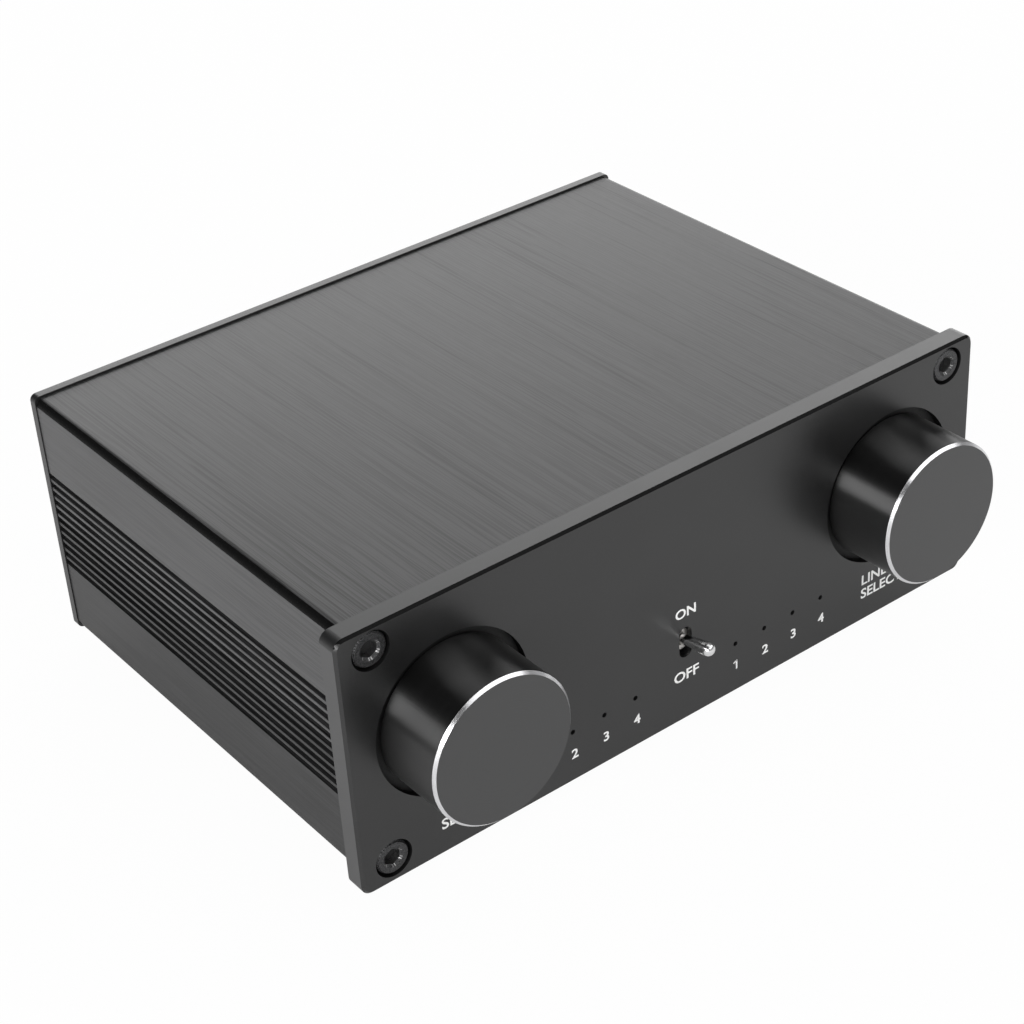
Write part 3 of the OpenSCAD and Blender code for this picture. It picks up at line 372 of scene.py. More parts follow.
finishes = {
    # painted shade: near black on the panel's bevels and the body's rounded edges
    "paintedEdgeShade": {"colour": (0.006, 0.006, 0.006), "rough": 0.25, "metal": 0.0,
                  "grain": 0.5, "depth": 0.001, "swing": 0.3, "index": 1.12},
    "blackOxide": {"colour": (0.095, 0.095, 0.097), "rough": 0.36, "metal": 0.9,
                   "grain": 0.34, "depth": 0.08, "swing": 0.75},
    # worn steel on the socket walls, brightened to stand in for a painted highlight
    "wornSteelAndGlint": {"colour": (0.42, 0.42, 0.42), "rough": 0.34, "metal": 1.0,
                  "grain": 0.30, "depth": 0.02, "swing": 0.4},
    # painted shade: near black in the knob pockets and on the socket floors
    "paintedRecessShade": {"colour": (0.006, 0.006, 0.006), "rough": 0.62, "metal": 0.0,
                    "grain": 0.3, "depth": 0.004, "swing": 0.3},
    "chrome": {"colour": (0.84, 0.84, 0.84), "rough": 0.20, "metal": 1.0,
               "grain": 0.9, "depth": 0.001, "swing": 0.06},
    "nickel": {"colour": (0.80, 0.78, 0.75), "rough": 0.34, "metal": 1.0,
               "grain": 0.3, "depth": 0.002, "swing": 0.12},
    "zinc": {"colour": (0.58, 0.58, 0.60), "rough": 0.32, "metal": 1.0,
             "grain": 0.4, "depth": 0.004, "swing": 0.15},
    "brass": {"colour": (0.74, 0.56, 0.27), "rough": 0.28, "metal": 1.0,
              "grain": 0.4, "depth": 0.003, "swing": 0.15},
    "goldPlate": {"colour": (0.88, 0.66, 0.27), "rough": 0.16, "metal": 1.0,
                  "grain": 0.5, "depth": 0.002, "swing": 0.10},
    "rubber": {"colour": (0.018, 0.018, 0.018), "rough": 0.78, "metal": 0.0,
               "grain": 0.35, "depth": 0.02, "swing": 0.35},
    "blackPlastic": {"colour": (0.020, 0.020, 0.021), "rough": 0.46, "metal": 0.0,
                     "grain": 0.2, "depth": 0.01, "swing": 0.30},
    "ivoryPlastic": {"colour": (0.72, 0.67, 0.54), "rough": 0.42, "metal": 0.0,
                     "grain": 0.5, "depth": 0.006, "swing": 0.08},
    "whitePlastic": {"colour": (0.82, 0.82, 0.79), "rough": 0.30, "metal": 0.0,
                     "grain": 0.6, "depth": 0.004, "swing": 0.05},
    "redPlastic": {"colour": (0.50, 0.022, 0.022), "rough": 0.30, "metal": 0.0,
                   "grain": 0.6, "depth": 0.004, "swing": 0.12},
    "relayCase": {"colour": (0.74, 0.73, 0.66), "rough": 0.44, "metal": 0.0,
                  "grain": 0.4, "depth": 0.006, "swing": 0.08},
    "toggleCase": {"colour": (0.28, 0.035, 0.035), "rough": 0.35, "metal": 0.0,
                   "grain": 0.4, "depth": 0.005, "swing": 0.15},
    "boardLacquer": {"colour": (0.020, 0.14, 0.055), "rough": 0.28, "metal": 0.0,
                     "grain": 1.4, "depth": 0.02, "swing": 0.35},
    "lampLens": {"colour": (0.55, 0.62, 0.64), "rough": 0.12, "metal": 0.0,
                 "grain": 1.0, "depth": 0.002, "swing": 0.08},
    "ribbonGrey": {"colour": (0.33, 0.34, 0.36), "rough": 0.50, "metal": 0.0,
                   "grain": 0.6, "depth": 0.02, "swing": 0.12},
    "capSleeve": {"colour": (0.025, 0.035, 0.09), "rough": 0.26, "metal": 0.0,
                  "grain": 0.8, "depth": 0.004, "swing": 0.20},
    "printWhite": {"colour": (0.95, 0.95, 0.94), "rough": 0.50, "metal": 0.0,
                   "grain": 0.15, "depth": 0.003, "swing": 0.06},
}
plainGrain = {
    "contrast": (0.3, 0.6),  # noise of the darkest and of the lightest grain
    "roughSpan": (0.3, 0.7),
    "roughSwing": 0.15,  # share of the roughness, either way
    "index": 1.5,
}


def plainFinish(name, setup):
    material, tree, shader = startMaterial(name)
    grain = noise(tree, objectCoords(tree), scale=1 / (setup["grain"] * mm), detail=3)
    dark = tuple(c * (1 - setup["swing"]) for c in setup["colour"])
    tone = blendColour(tree, spread(tree, grain, *plainGrain["contrast"], 0, 1), dark, setup["colour"])
    tree.links.new(tone, shader.inputs["Base Color"])
    swing = setup["rough"] * plainGrain["roughSwing"]
    rough = spread(tree, grain, *plainGrain["roughSpan"], setup["rough"] - swing, setup["rough"] + swing)
    tree.links.new(rough, shader.inputs["Roughness"])
    shader.inputs["Metallic"].default_value = setup["metal"]
    shader.inputs["IOR"].default_value = setup.get("index", plainGrain["index"])
    relief(tree, shader, grain, setup["depth"])
    return material


finish = {name: plainFinish(name, setup) for name, setup in finishes.items()}
finish["brushedShell"] = brushedShell("brushedShell", brushed)
finish["brushedLowerShaded"] = brushedShell("brushedLowerShaded", brushedLowShaded)
finish["satinPanel"] = satinPanel("satinPanel", satin)
finish["satinEndPaintedLight"] = satinPanel("satinEndPaintedLight", satinEndLightened)
finish["knobSide"] = knobSide(turned["side"])
finish["knobFace"] = knobFace(turned["face"])
finish["knobRing"] = knobRing(turned["ring"])
print("finishes made:", len(finish))


# modelling helpers

weld = {
    "nodeGap": 0.002,  # mm, corners of a frame mesh this close are one
    "latheGap": 0.001,  # mm
    "flatAngle": 0.3,  # degrees, faces this level with each other become one
}


def clearSelection():
    if bpy.context.object and bpy.context.object.mode != "OBJECT":
        bpy.ops.object.mode_set(mode="OBJECT")
    bpy.ops.object.select_all(action="DESELECT")


def makeActive(piece):
    clearSelection()
    piece.select_set(True)
    bpy.context.view_layer.objects.active = piece


def applyModifier(piece, modifier):
    makeActive(piece)
    bpy.ops.object.modifier_apply(modifier=modifier.name)


def softenEdges(piece, width, segments=2, angle=30):  # width in mm
    bevel = piece.modifiers.new("softEdge", "BEVEL")
    bevel.width = width * mm
    bevel.segments = segments
    bevel.limit_method = "ANGLE"
    bevel.angle_limit = math.radians(angle)
    applyModifier(piece, bevel)
    smoothFaces(piece)


def smoothFaces(piece, angle=38):
    makeActive(piece)
    bpy.ops.object.shade_smooth_by_angle(angle=math.radians(angle))
    weight = piece.modifiers.new("evenNormals", "WEIGHTED_NORMAL")
    weight.keep_sharp = True
    applyModifier(piece, weight)
    return piece


def pickFaces(piece, test):
    makeActive(piece)
    bpy.ops.object.mode_set(mode="EDIT")
    bpy.ops.mesh.select_mode(type="FACE")
    bpy.ops.mesh.select_all(action="DESELECT")
    bpy.ops.object.mode_set(mode="OBJECT")
    for face in piece.data.polygons:
        face.select = test(face)
    bpy.ops.object.mode_set(mode="EDIT")


def paintFaces(piece, finishName, test):
    piece.data.materials.append(finish[finishName])
    piece.active_material_index = len(piece.data.materials) - 1
    pickFaces(piece, test)
    bpy.ops.object.material_slot_assign()
    bpy.ops.object.mode_set(mode="OBJECT")


def settle(piece, body, slot, finishName, *replaced):
    if not piece.data.materials:
        piece.data.materials.append(finish[finishName])
    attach(piece, body)
    if replaced:
        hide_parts(*replaced)


def copyNode(node, name, edge):  # edge in mm
    mesh = nodes[node].data.copy()
    mesh.materials.clear()
    piece = bpy.data.objects.new(name, mesh)
    scene.collection.objects.link(piece)
    makeActive(piece)
    bpy.ops.mesh.customdata_custom_splitnormals_clear()
    bpy.ops.object.mode_set(mode="EDIT")
    bpy.ops.mesh.select_all(action="SELECT")
    bpy.ops.mesh.remove_doubles(threshold=weld["nodeGap"] * mm)
    bpy.ops.mesh.dissolve_limited(angle_limit=math.radians(weld["flatAngle"]))
    bpy.ops.object.mode_set(mode="OBJECT")
    softenEdges(piece, edge)
    return piece


def joinPieces(name, pieces):
    clearSelection()
    for piece in pieces:
        piece.select_set(True)
    bpy.context.view_layer.objects.active = pieces[0]
    bpy.ops.object.join()
    whole = bpy.context.object
    whole.name = name
    return whole


def turnOnLathe(name, rings, sides, tube=False):  # rings of (radius, height) in mm, capped unless a tube
    clearSelection()
    radius, height = rings[0]
    filling = "NOTHING" if tube else "NGON"
    bpy.ops.mesh.primitive_circle_add(vertices=sides, radius=radius * mm, fill_type=filling)
    piece = bpy.context.object
    piece.name = name
    bpy.ops.object.mode_set(mode="EDIT")
    bpy.ops.mesh.select_all(action="SELECT")
    bpy.ops.transform.translate(value=(0, 0, height * mm))
    for nextRadius, nextHeight in rings[1:] + rings[:1] * tube:  # a tube closes on its first ring
        rise = {"value": (0, 0, (nextHeight - height) * mm)}
        if tube:
            bpy.ops.mesh.extrude_edges_move(TRANSFORM_OT_translate=rise)
        else:
            bpy.ops.mesh.extrude_region_move(TRANSFORM_OT_translate=rise)
        grow = nextRadius / radius
        bpy.ops.transform.resize(value=(grow, grow, 1), center_override=(0, 0, nextHeight * mm))
        radius, height = nextRadius, nextHeight
    bpy.ops.mesh.select_all(action="SELECT")
    bpy.ops.mesh.remove_doubles(threshold=weld["latheGap"] * mm)
    bpy.ops.mesh.normals_make_consistent(inside=False)
    bpy.ops.object.mode_set(mode="OBJECT")
    return piece


def setDown(piece, place, turn=(90, 0, 0)):  # place in mm, turn in degrees, then both go into the mesh
    piece.location = Vector(place) * mm
    piece.rotation_euler = [math.radians(angle) for angle in turn]
    makeActive(piece)
    bpy.ops.object.transform_apply(location=True, rotation=True, scale=True)
    return piece


def copyTo(piece, place):
    makeActive(piece)
    bpy.ops.object.duplicate()
    return setDown(bpy.context.object, place, (0, 0, 0))


def copyToAll(name, first, places):  # the first one goes once its copies are made
    copies = [copyTo(first, place) for place in places]
    makeActive(first)
    bpy.ops.object.delete()
    return joinPieces(name, copies)


def cutOut(piece, cutter):
    cut = piece.modifiers.new("cutOut", "BOOLEAN")
    cut.operation = "DIFFERENCE"
    cut.solver = "EXACT"
    cut.object = cutter
    applyModifier(piece, cut)
    makeActive(cutter)
    bpy.ops.object.delete()


def hexKey(acrossFlats, low, high):  # cutter for a socket, along Z
    clearSelection()
    bpy.ops.mesh.primitive_cylinder_add(vertices=6, radius=acrossFlats / math.sqrt(3) * mm,
                                        depth=(high - low) * mm, location=(0, 0, (high + low) / 2 * mm))
    bpy.ops.object.transform_apply(location=True)
    return bpy.context.object


def roundBar(diameter, length, place, turn, sides=48):  # cutter for a hole
    clearSelection()
    bpy.ops.mesh.primitive_cylinder_add(vertices=sides, radius=diameter / 2 * mm, depth=length * mm)
    return setDown(bpy.context.object, place, turn)


def arc(radius, height, start, end, steps):  # lathe rings along a ball, angles from its lower pole
    angles = [math.radians(start + (end - start) * i / steps) for i in range(steps + 1)]
    return [(radius * math.sin(angle), height - radius * math.cos(angle)) for angle in angles]


addCamera(cameraSetup)
for name, setup in softboxes.items():
    addSoftbox(name, setup)
addRoom(room)
print("camera and lights placed")

floor = {
    "size": 9.0,  # m
    "light": 0.90,  # shades of the paper
    "dark": 0.87,
    "clouds": 3.0,  # per metre
    "rough": 0.8,
    "gloss": 0.1,
    "lift": 0.97,  # share of plain white that the camera sees
    "glossLift": 0.28,  # share of plain white that metal and gloss mirror
}


def addFloor(setup):
    clearSelection()
    bpy.ops.mesh.primitive_plane_add(size=setup["size"], location=(0, 0, 0))
    sheet = bpy.context.object
    sheet.name = "studioFloor"
    material, tree, shader = startMaterial("paperFloor")
    cloud = noise(tree, objectCoords(tree), scale=setup["clouds"])
    tone = blendColour(tree, cloud, (setup["dark"],) * 3, (setup["light"],) * 3)
    tree.links.new(tone, shader.inputs["Base Color"])
    shader.inputs["Roughness"].default_value = setup["rough"]
    shader.inputs["Specular IOR Level"].default_value = setup["gloss"]
    rays = tree.nodes.new("ShaderNodeLightPath")
    mirrored = calc(tree, "MAXIMUM", rays.outputs["Is Glossy Ray"], rays.outputs["Is Transmission Ray"])
    seen = calc(tree, "MULTIPLY", rays.outputs["Is Camera Ray"], setup["lift"])
    seen = calc(tree, "MAXIMUM", seen, calc(tree, "MULTIPLY", mirrored, setup["glossLift"]))
    glow = tree.nodes.new("ShaderNodeEmission")
    mixed = tree.nodes.new("ShaderNodeMixShader")
    tree.links.new(seen, mixed.inputs["Fac"])
    tree.links.new(shader.outputs["BSDF"], mixed.inputs[1])
    tree.links.new(glow.outputs["Emission"], mixed.inputs[2])
    tree.links.new(mixed.outputs["Shader"], tree.nodes["Material Output"].inputs["Surface"])
    sheet.data.materials.append(material)


addFloor(floor)

# case pieces taken from the frame, with eased edges

casePieces = {  # name, edge in mm, slot and finish
    "front_panel": ("frontPanel", 0.18, "anodised_panel", "satinPanel"),
    "rear_panel": ("rearPanel", 0.15, "anodised_panel", "satinPanel"),
    "upper_shell": ("upperShell", 0.10, "anodised_body", "brushedShell"),
    "lower_shell": ("lowerShell", 0.10, "anodised_body", "brushedLowerShaded"),
}
for node, (name, edge, slot, finishName) in casePieces.items():
    settle(copyNode(node, name, edge), "chassis", slot, finishName, node)
panelZones = {
    "pocketRadius": 22.35,  # mm, round seat behind each knob
    "pocketLip": 0.25,  # mm
    "bevelWidth": 0.8,  # mm, front edge
    "bevelFront": (0.2, 0.98),  # how far a bevel's face looks to the front
    "bevelUp": 0.3,  # least that it looks up or down
    "endSkin": 0.05,  # mm, faces this near the widest part are sawn ends
}
longEdge = {
    "sideways": 0.997,  # most that a face of the rounded edge looks sideways
    "upward": 0.93,  # most that it looks up or down
    "lengthways": 0.2,
    "height": 34.0,  # mm, from mid height
    "width": 2.6,  # mm, in from the flank
}


def inPocket(face):
    across = abs(face.center.x) - knobX
    reach = math.hypot(across, face.center.z - knobZ)
    sunk = face.center.y - panelFace
    return sunk > panelZones["pocketLip"] * mm and reach < panelZones["pocketRadius"] * mm


def onPanelBevel(face):
    width = panelZones["bevelWidth"] * mm
    frontLow, frontHigh = panelZones["bevelFront"]
    outward = abs(face.center.x) - panelHigh.x
    upward = abs(face.center.z - panelMiddle) - (panelHigh.z - panelMiddle)
    slanted = frontLow < abs(face.normal.y) < frontHigh and abs(face.normal.z) > panelZones["bevelUp"]
    return slanted and max(outward, upward) > -width and face.center.y < panelFace + width


def onPanelEnd(face):
    return abs(face.center.x) > panelHigh.x - panelZones["endSkin"] * mm


def onLongEdge(face):  # rounded long edges of the body, less the part next to the top and the bottom; painted shade goes here
    slanted = abs(face.normal.x) < longEdge["sideways"] and abs(face.normal.z) < longEdge["upward"]
    slanted = slanted and abs(face.normal.y) < longEdge["lengthways"]
    high = abs(face.center.z - panelMiddle) > longEdge["height"] * mm
    return slanted and high and abs(face.center.x) > shellHalf - longEdge["width"] * mm


# painted shade in the knob pockets
paintFaces(bpy.data.objects["frontPanel"], "paintedRecessShade", inPocket)
# painted shade on the top and bottom bevels
paintFaces(bpy.data.objects["frontPanel"], "paintedEdgeShade", onPanelBevel)
# painted light on the sawn ends
paintFaces(bpy.data.objects["frontPanel"], "satinEndPaintedLight", onPanelEnd)
# painted shade on the body's rounded long edges
for name in ("upperShell", "lowerShell"):
    paintFaces(bpy.data.objects[name], "paintedEdgeShade", onLongEdge)
print("case dressed")

# selector knobs, turned once and copied, face towards -Y

knob = {
    "rings": [(3.05, 12.05), (3.05, 2.0), (8.5, 2.0), (8.5, -1.5), (19.8, -1.5), (20.0, -1.3),
              (20.0, 18.5), (19.3, 19.2)],
    "place": (knobX / mm, panelFace / mm, knobZ / mm),
    "setHole": 3.1,
    "holeOut": 7.0,  # from the panel's face to the middle of the set screw
    "holeLength": 21.0,
    "sides": 160,
    "faceSkin": 0.02,  # mm, faces this near the front are the knob's face
}


def addKnobs(setup):
    x, y, z = setup["place"]
    right = turnOnLathe("outputKnob", setup["rings"], setup["sides"])
    setDown(right, setup["place"])
    holePlace = (x, y - setup["holeOut"], z - setup["holeLength"] / 2)
    cutOut(right, roundBar(setup["setHole"], setup["holeLength"], holePlace, (0, 0, 0)))
    smoothFaces(right)
    right.data.materials.append(finish["knobSide"])
    faceY = (y - setup["rings"][-1][1]) * mm
    bevelY = (y - setup["rings"][-2][1]) * mm
    skin = setup["faceSkin"] * mm
    paintFaces(right, "knobFace", lambda face: abs(face.center.y - faceY) < skin)
    paintFaces(right, "knobRing", lambda face: faceY + skin < face.center.y < bevelY - skin)
    left = copyTo(right, (-2 * x, 0, 0))
    left.name = "inputKnob"
    settle(right, "output_selector", "knob_metal", "knobSide", "output_knob")
    settle(left, "input_selector", "knob_metal", "knobSide", "input_knob")


addKnobs(knob)
print("knobs turned")

# power lever, tilted up to ON

pinLow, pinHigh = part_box("toggle_pivot_pin")
lever = {
    "pivot": (pinLow + pinHigh) / 2 / mm,
    "tilt": 11.0,  # degrees
    "armRadius": 0.7,
    "armLength": 10.4,
    "armArc": (4, 90, 8),  # degrees from the pole, and steps
    "ballRadius": 2.0,
    "ballSteps": 20,
    "rootRadius": 0.95,
    "neckRadius": 1.4,
    "flare": (2.7, 3.5),  # mm from the pivot, where the root widens to the neck
    "tipRadius": 1.9,
    "tipArc": (92, 176, 14),
    "length": 14.6,
    "sides": 48,
    "smooth": 50,  # degrees
    "pinHole": 1.1,
    "pinLength": 6.0,
    "pinSides": 24,
}


def addLever(setup):
    arm, ball, tip, root = [setup[part + "Radius"] for part in ("arm", "ball", "tip", "root")]
    armAngle = math.degrees(math.asin(arm / ball))
    rootAngle = 180 - math.degrees(math.asin(root / ball))
    flareStart, flareEnd = setup["flare"]
    rings = arc(arm, -setup["armLength"], *setup["armArc"])
    rings += arc(ball, 0, armAngle, rootAngle, setup["ballSteps"])
    rings += [(root, flareStart), (setup["neckRadius"], flareEnd)]
    rings += arc(tip, setup["length"] - tip, *setup["tipArc"])
    piece = turnOnLathe("toggleLever", rings, setup["sides"])
    setDown(piece, setup["pivot"], (90 - setup["tilt"], 0, 0))
    pinBar = roundBar(setup["pinHole"], setup["pinLength"], setup["pivot"], (0, 90, 0), setup["pinSides"])
    cutOut(piece, pinBar)
    smoothFaces(piece, setup["smooth"])
    settle(piece, "power_lever", "bright_chrome", "chrome", "toggle_lever")


addLever(lever)
print("lever turned")

# socket screws of both panels, one of each modelled and copied

frontScrew = {
    "rings": [(2.2, -18.0), (2.5, -17.7), (2.5, -3.8), (4.6, -3.8), (4.6, -0.75), (4.2, -0.3)],
    "key": 4.0,
    "keyFloor": -2.75,
    "mouth": [(2.2, -0.85), (2.85, -0.28), (2.85, 1.0)],  # countersink round the socket
    "knurl": {  # notches round the rim of the head
        "count": 36,
        "inner": 4.22,
        "outer": 4.58,
        "depth": 0.12,
        "wall": 0.04,
        "slant": (0.3, 0.95),  # how far the rim's faces look outwards from the panel
        "share": 0.5,
    },
    "turn": (90, 0, 0),
    "face": panelFace / mm,
    "node": "front_panel_screws",
    "name": "frontScrews",
}
rearScrew = {
    "rings": [(2.2, -14.7), (2.5, -14.4), (2.5, -2.6), (4.6, -0.12), (4.5, 0.0)],
    "key": 3.0,
    "keyFloor": -1.82,
    "turn": (-90, 0, 0),
    "face": rearFace / mm,
    "node": "rear_panel_screws",
    "name": "rearScrews",
}
caseScrew = {
    "out": 92.5,  # mm, from the middle of the panel
    "rises": (-30.1, 30.9),  # mm, from the middle of the panel
    "sides": 72,
    "edge": 0.10,
    "keyTop": 2.0,  # mm, top of the cutter
    "wallReach": 0.62,  # share of the key's size
    "wallTilt": 0.85,
    "floorSkin": 0.02,  # mm, faces this near are the socket's floor
}
screwColumns = (-caseScrew["out"], caseScrew["out"])
screwPlaces = [(x, 0, panelMiddle / mm + rise) for x in screwColumns for rise in caseScrew["rises"]]


def notchRim(piece, setup):
    slantLow, slantHigh = setup["slant"]

    def onNotch(face):
        reach = math.hypot(face.center.x, face.center.y) / mm
        turn = math.atan2(face.center.y, face.center.x) / math.tau * setup["count"]
        onRim = setup["inner"] < reach < setup["outer"] and slantLow < face.normal.z < slantHigh
        return onRim and turn % 1 < setup["share"]

    pickFaces(piece, onNotch)
    bpy.ops.mesh.inset(thickness=setup["wall"] * mm, depth=-setup["depth"] * mm, use_individual=True)
    bpy.ops.object.mode_set(mode="OBJECT")


def onSocketWall(face, setup):
    reach = math.hypot(face.center.x, face.center.y) / mm
    upright = abs(face.normal.z) < caseScrew["wallTilt"]
    inKey = reach < setup["key"] * caseScrew["wallReach"]
    return upright and inKey and face.center.z > setup["keyFloor"] * mm


def onSocketFloor(face, setup):
    return abs(face.center.z - setup["keyFloor"] * mm) < caseScrew["floorSkin"] * mm


def addCaseScrews(setup):
    first = turnOnLathe(setup["name"], setup["rings"], caseScrew["sides"])
    cutOut(first, hexKey(setup["key"], setup["keyFloor"], caseScrew["keyTop"]))
    if "mouth" in setup:
        cutOut(first, turnOnLathe("keyMouth", setup["mouth"], caseScrew["sides"]))
    softenEdges(first, caseScrew["edge"])
    first.data.materials.append(finish["blackOxide"])
    if "knurl" in setup:
        notchRim(first, setup["knurl"])
    # worn socket walls, brightened as a painted highlight
    paintFaces(first, "wornSteelAndGlint", lambda face: onSocketWall(face, setup))
    # painted shade on the socket floors
    paintFaces(first, "paintedRecessShade", lambda face: onSocketFloor(face, setup))
    setDown(first, (0, setup["face"], 0), setup["turn"])
    screws = copyToAll(setup["name"], first, screwPlaces)
    settle(screws, "chassis", "black_screw", "blackOxide", setup["node"])


addCaseScrews(frontScrew)
addCaseScrews(rearScrew)
print("case screws set")

# phono jacks at the back: sleeve and insert modelled once, copied along each row

jack = {
    "sleeve": [(3.5, 0.0), (4.15, 0.0), (4.15, 8.75), (4.08, 8.93), (3.9, 9.0), (3.7, 9.0), (3.5, 8.8)],
    "insert": [(3.0, -6.8), (3.0, -3.8), (5.2, -3.8), (5.2, -0.3), (5.12, -0.09), (4.9, 0.0), (3.45, 0.0),
               (3.45, 8.1), (3.33, 8.38), (3.05, 8.5), (2.0, 8.5), (1.72, 8.4), (1.6, 8.1), (1.6, 0.5)],
    "sides": 64,
    "face": rearFace / mm + 1,  # where the sleeve starts
    "columns": (-25.5, -8.5, 8.5, 25.5),  # from the middle of a block
    "middle": 52.0,  # of a block, from the middle of the panel
    "rows": {"Left": 48.6, "Right": 30.6},  # heights of the two channels
}


def addJacks(setup, side, kind):
    columns = [side * setup["middle"] + column for column in setup["columns"]]
    rows = setup["rows"]
    sleeve = turnOnLathe(kind + "Sleeve", setup["sleeve"], setup["sides"], tube=True)
    smoothFaces(setDown(sleeve, (0, setup["face"], 0), (-90, 0, 0)))
    sleeves = copyToAll(kind + "JackSleeves", sleeve, [(x, 0, z) for x in columns for z in rows.values()])
    settle(sleeves, "chassis", "gold_plate", "goldPlate", kind + "_jack_sleeves")
    for row, plastic in (("Left", "white"), ("Right", "red")):
        insert = turnOnLathe(kind + "Insert", setup["insert"], setup["sides"])
        smoothFaces(setDown(insert, (0, setup["face"], 0), (-90, 0, 0)))
        inserts = copyToAll(kind + row + "Inserts", insert, [(x, 0, rows[row]) for x in columns])
        node = f"{kind}_{row.lower()}_inserts"
        settle(inserts, "chassis", plastic + "_plastic", plastic + "Plastic", node)


addJacks(jack, -1, "input")
addJacks(jack, 1, "output")
print("phono jacks set")

# small pan head screws: jack blocks at the back, feet below

panHead = {
    "radius": 2.8,
    "height": 1.8,
    "dome": [(1, 0.55), (0.96, 0.8), (0.86, 0.95), (0.72, 1)],  # shares of the radius and of the height
    "shank": 1.5,
    "point": 0.25,
    "key": 2.0,
    "keyDepth": 1.26,
    "keyTop": 1.0,  # how far the cutter stands proud
    "edge": 0.06,
    "sides": 48,
    "blockGrip": 6.8,  # length of the shank
    "footGrip": 5.5,
}
foot = {
    "rings": [(1.55, 2.5), (3.1, 2.5), (3.1, 0.25), (3.35, 0.0), (7.9, 0.0), (8.45, 0.12), (8.85, 0.5),
              (9.0, 1.05), (9.0, 4.7), (8.8, 5.0), (1.55, 5.0)],
    "radius": 9.0,
    "seat": 2.5,  # height of the screw's seat
    "sides": 72,
}
blockMiddle = sum(jack["rows"].values()) / 2
blockEnds = [side * jack["middle"] + end * jack["columns"][-1] for side in (-1, 1) for end in (-1, 1)]
blockScrewPlaces = [(x, rearFace / mm, blockMiddle) for x in blockEnds]
feetLow, feetHigh = [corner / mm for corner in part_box("rubber_feet")]
feetX = (feetLow.x + foot["radius"], feetHigh.x - foot["radius"])
feetY = (feetLow.y + foot["radius"], feetHigh.y - foot["radius"])
footPlaces = [(x, y, 0) for x in feetX for y in feetY]
footScrewPlaces = [(x, y, foot["seat"]) for x in feetX for y in feetY]


def panScrew(setup, grip, turn):
    radius, height, shank, point = [setup[part] for part in ("radius", "height", "shank", "point")]
    rings = [(shank - point, -grip), (shank, -grip + point), (shank, 0), (radius, 0)]
    rings += [(radius * out, height * up) for out, up in setup["dome"]]
    screw = turnOnLathe("panScrew", rings, setup["sides"])
    cutOut(screw, hexKey(setup["key"], height - setup["keyDepth"], height + setup["keyTop"]))
    softenEdges(screw, setup["edge"])
    return setDown(screw, (0, 0, 0), turn)


blockScrew = panScrew(panHead, panHead["blockGrip"], (-90, 0, 0))
blockScrews = copyToAll("jackBlockScrews", blockScrew, blockScrewPlaces)
settle(blockScrews, "chassis", "black_screw", "blackOxide", "jack_block_screws")
footScrew = panScrew(panHead, panHead["footGrip"], (180, 0, 0))
footScrews = copyToAll("footScrews", footScrew, footScrewPlaces)
settle(footScrews, "chassis", "steel", "zinc", "foot_screws")
footShape = smoothFaces(turnOnLathe("rubberFoot", foot["rings"], foot["sides"], tube=True))
settle(copyToAll("rubberFeet", footShape, footPlaces), "chassis", "rubber", "rubber", "rubber_feet")
print("feet and small screws set")

# small pieces taken from the frame, with eased edges

easedPieces = {  # name, edge in mm, slot and finish
    "toggle_bushing": ("toggleBushing", 0.12, "nickel", "nickel"),
    "power_jack": ("powerJack", 0.18, "black_plastic", "blackPlastic"),
}
for node, (name, edge, slot, finishName) in easedPieces.items():
    settle(copyNode(node, name, edge), "chassis", slot, finishName, node)
print("small pieces eased")

# lettering, a thin layer of print on the panels

lettering = {"size": 4.33, "proud": 0.03, "weight": 0.08, "wide": 1.12, "steps": 4}  # mm, wide is a share
figureOne = {  # shares of the letter size
    "height": 0.729,
    "stroke": 0.115,
    "flag": (0.24, 0.16),  # reach and drop
    "flagStroke": 0.85,  # shares of the stroke
    "flagSink": 0.3,
}
lampPrint = {"columns": (17.0, 27.16, 37.32, 47.48), "shift": 0.35, "height": 11.75, "size": 0.9}
jackPrint = {"numberHeight": 55.6, "rowOut": 14.0, "rowDrop": 1.3, "size": 0.8}
frontPrint = [  # words, x and z in mm, share of the letter size, side that x is at
    ("ON", 0.3, 36.8, 0.92, "CENTER"),
    ("OFF", 0.1, 17.35, 1, "CENTER"),
    ("LINE", 62.7, 16.45, 1, "LEFT"),
    ("SELECT", 62.7, 12.05, 1, "LEFT"),
    ("LINE", -72.0, 16.45, 1, "LEFT"),
    ("SELECT", -78.3, 12.05, 1, "LEFT"),
]
rearPrint = [
    ("LINE IN", -52.0, 64.0, 0.95, "CENTER"),
    ("LINE OUT", 52.0, 64.0, 0.95, "CENTER"),
    ("DC", 0, 33.0, 0.8, "CENTER"),
]
for side in (1, -1):  # lamps count from left to right on both sides
    for i, x in enumerate(sorted(side * column for column in lampPrint["columns"])):
        numberX = x + lampPrint["shift"]
        frontPrint.append((str(i + 1), numberX, lampPrint["height"], lampPrint["size"], "CENTER"))
for side in (-1, 1):
    for i, x in enumerate(reversed(jack["columns"])):
        numberX = side * jack["middle"] + x
        rearPrint.append((str(i + 1), numberX, jackPrint["numberHeight"], jackPrint["size"], "CENTER"))
    for row, height in jack["rows"].items():
        rowX = side * jackPrint["rowOut"]
        rearPrint.append((row[0], rowX, height - jackPrint["rowDrop"], jackPrint["size"], "CENTER"))


def addWord(text, size, side):
    bpy.ops.object.text_add()
    word = bpy.context.object
    word.data.body = text
    word.data.size = size * mm
    word.data.align_x = side
    word.data.offset = lettering["weight"] * mm
    word.data.extrude = lettering["proud"] * mm
    word.data.resolution_u = lettering["steps"]
    bpy.ops.object.convert(target="MESH")


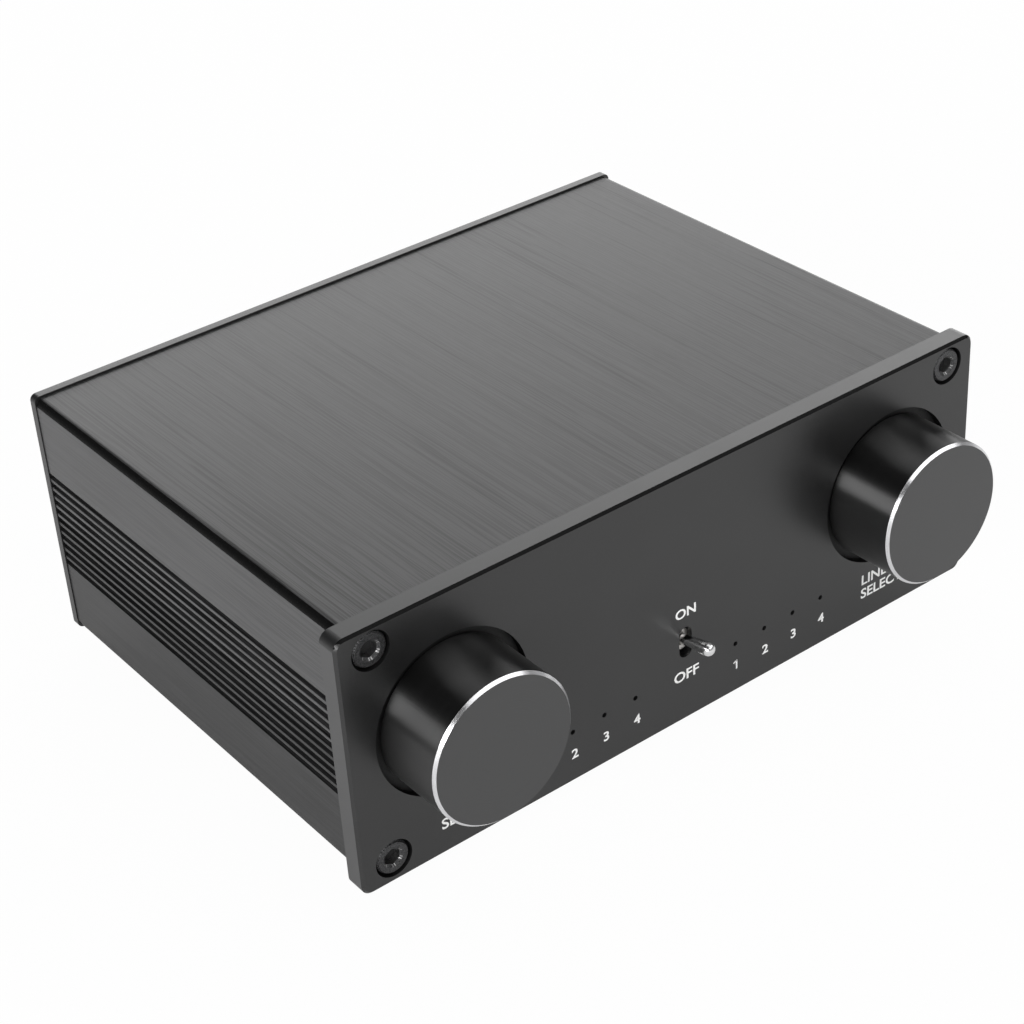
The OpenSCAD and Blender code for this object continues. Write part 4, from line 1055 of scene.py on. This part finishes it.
def addFigureOne(size):  # a bar with a slanted flag at its top left
    height, stroke = figureOne["height"] * size, figureOne["stroke"] * size
    reach, drop = [share * size for share in figureOne["flag"]]
    bpy.ops.mesh.primitive_plane_add(size=mm)
    bar = bpy.context.object
    bar.scale = (stroke, height, 1)
    setDown(bar, (0, height / 2, 0), (0, 0, 0))
    bpy.ops.mesh.primitive_plane_add(size=mm)
    flag = bpy.context.object
    flag.scale = (math.hypot(reach, drop), stroke * figureOne["flagStroke"], 1)
    flagPlace = (-reach / 2, height - drop / 2 - stroke * figureOne["flagSink"], 0)
    setDown(flag, flagPlace, (0, 0, math.degrees(math.atan2(drop, reach))))
    joinPieces("figureOne", [bar, flag])
    bpy.ops.object.mode_set(mode="EDIT")
    bpy.ops.mesh.select_all(action="SELECT")
    bpy.ops.mesh.extrude_region_move(TRANSFORM_OT_translate={"value": (0, 0, lettering["proud"] * mm)})
    bpy.ops.mesh.select_all(action="SELECT")
    bpy.ops.mesh.normals_make_consistent(inside=False)
    bpy.ops.object.mode_set(mode="OBJECT")


def addLettering(name, lines, face, turn):
    words = []
    for text, x, z, size, side in lines:
        clearSelection()
        if text == "1":
            addFigureOne(lettering["size"] * size)
        else:
            addWord(text, lettering["size"] * size, side)
        bpy.context.object.scale.x = lettering["wide"]
        words.append(setDown(bpy.context.object, (x, face, z), turn))
    settle(joinPieces(name, words), "chassis", "white_plastic", "printWhite")


addLettering("frontLettering", frontPrint, panelFace / mm, (90, 0, 0))
addLettering("rearLettering", rearPrint, rearFace / mm, (90, 0, 180))
print("lettering printed")

# every other node of the frame keeps its shape and gets its finish

nodeFinish = {
    "blackOxide": ["input_knob_set_screw", "output_knob_set_screw"],
    "nickel": ["input_switch_bushing", "output_switch_bushing", "input_switch_nut",
               "output_switch_nut", "power_jack_pin"],
    "zinc": ["toggle_pivot_pin", "input_switch_shaft", "output_switch_shaft", "input_switch_washer",
             "output_switch_washer", "led_leads", "board_screws", "standoff_screws"],
    "brass": ["toggle_contact", "toggle_terminals", "input_switch_terminals", "output_switch_terminals",
              "board_standoffs"],
    "blackPlastic": ["input_switch_housing", "output_switch_housing", "front_header", "main_header",
                     "driver_chips", "voltage_regulator", "input_jack_block", "output_jack_block"],
    "ivoryPlastic": ["input_switch_rotor", "output_switch_rotor"],
    "relayCase": ["input_relays", "output_relays"],
    "toggleCase": ["toggle_housing"],
    "boardLacquer": ["front_board", "main_board"],
    "lampLens": ["input_leds", "output_leds"],
    "ribbonGrey": ["ribbon_cable"],
    "capSleeve": ["filter_capacitors"],
}
for finishName, names in nodeFinish.items():
    for node in names:
        for slot in nodes[node].material_slots:
            slot.material = finish[finishName]
print("frame nodes finished")
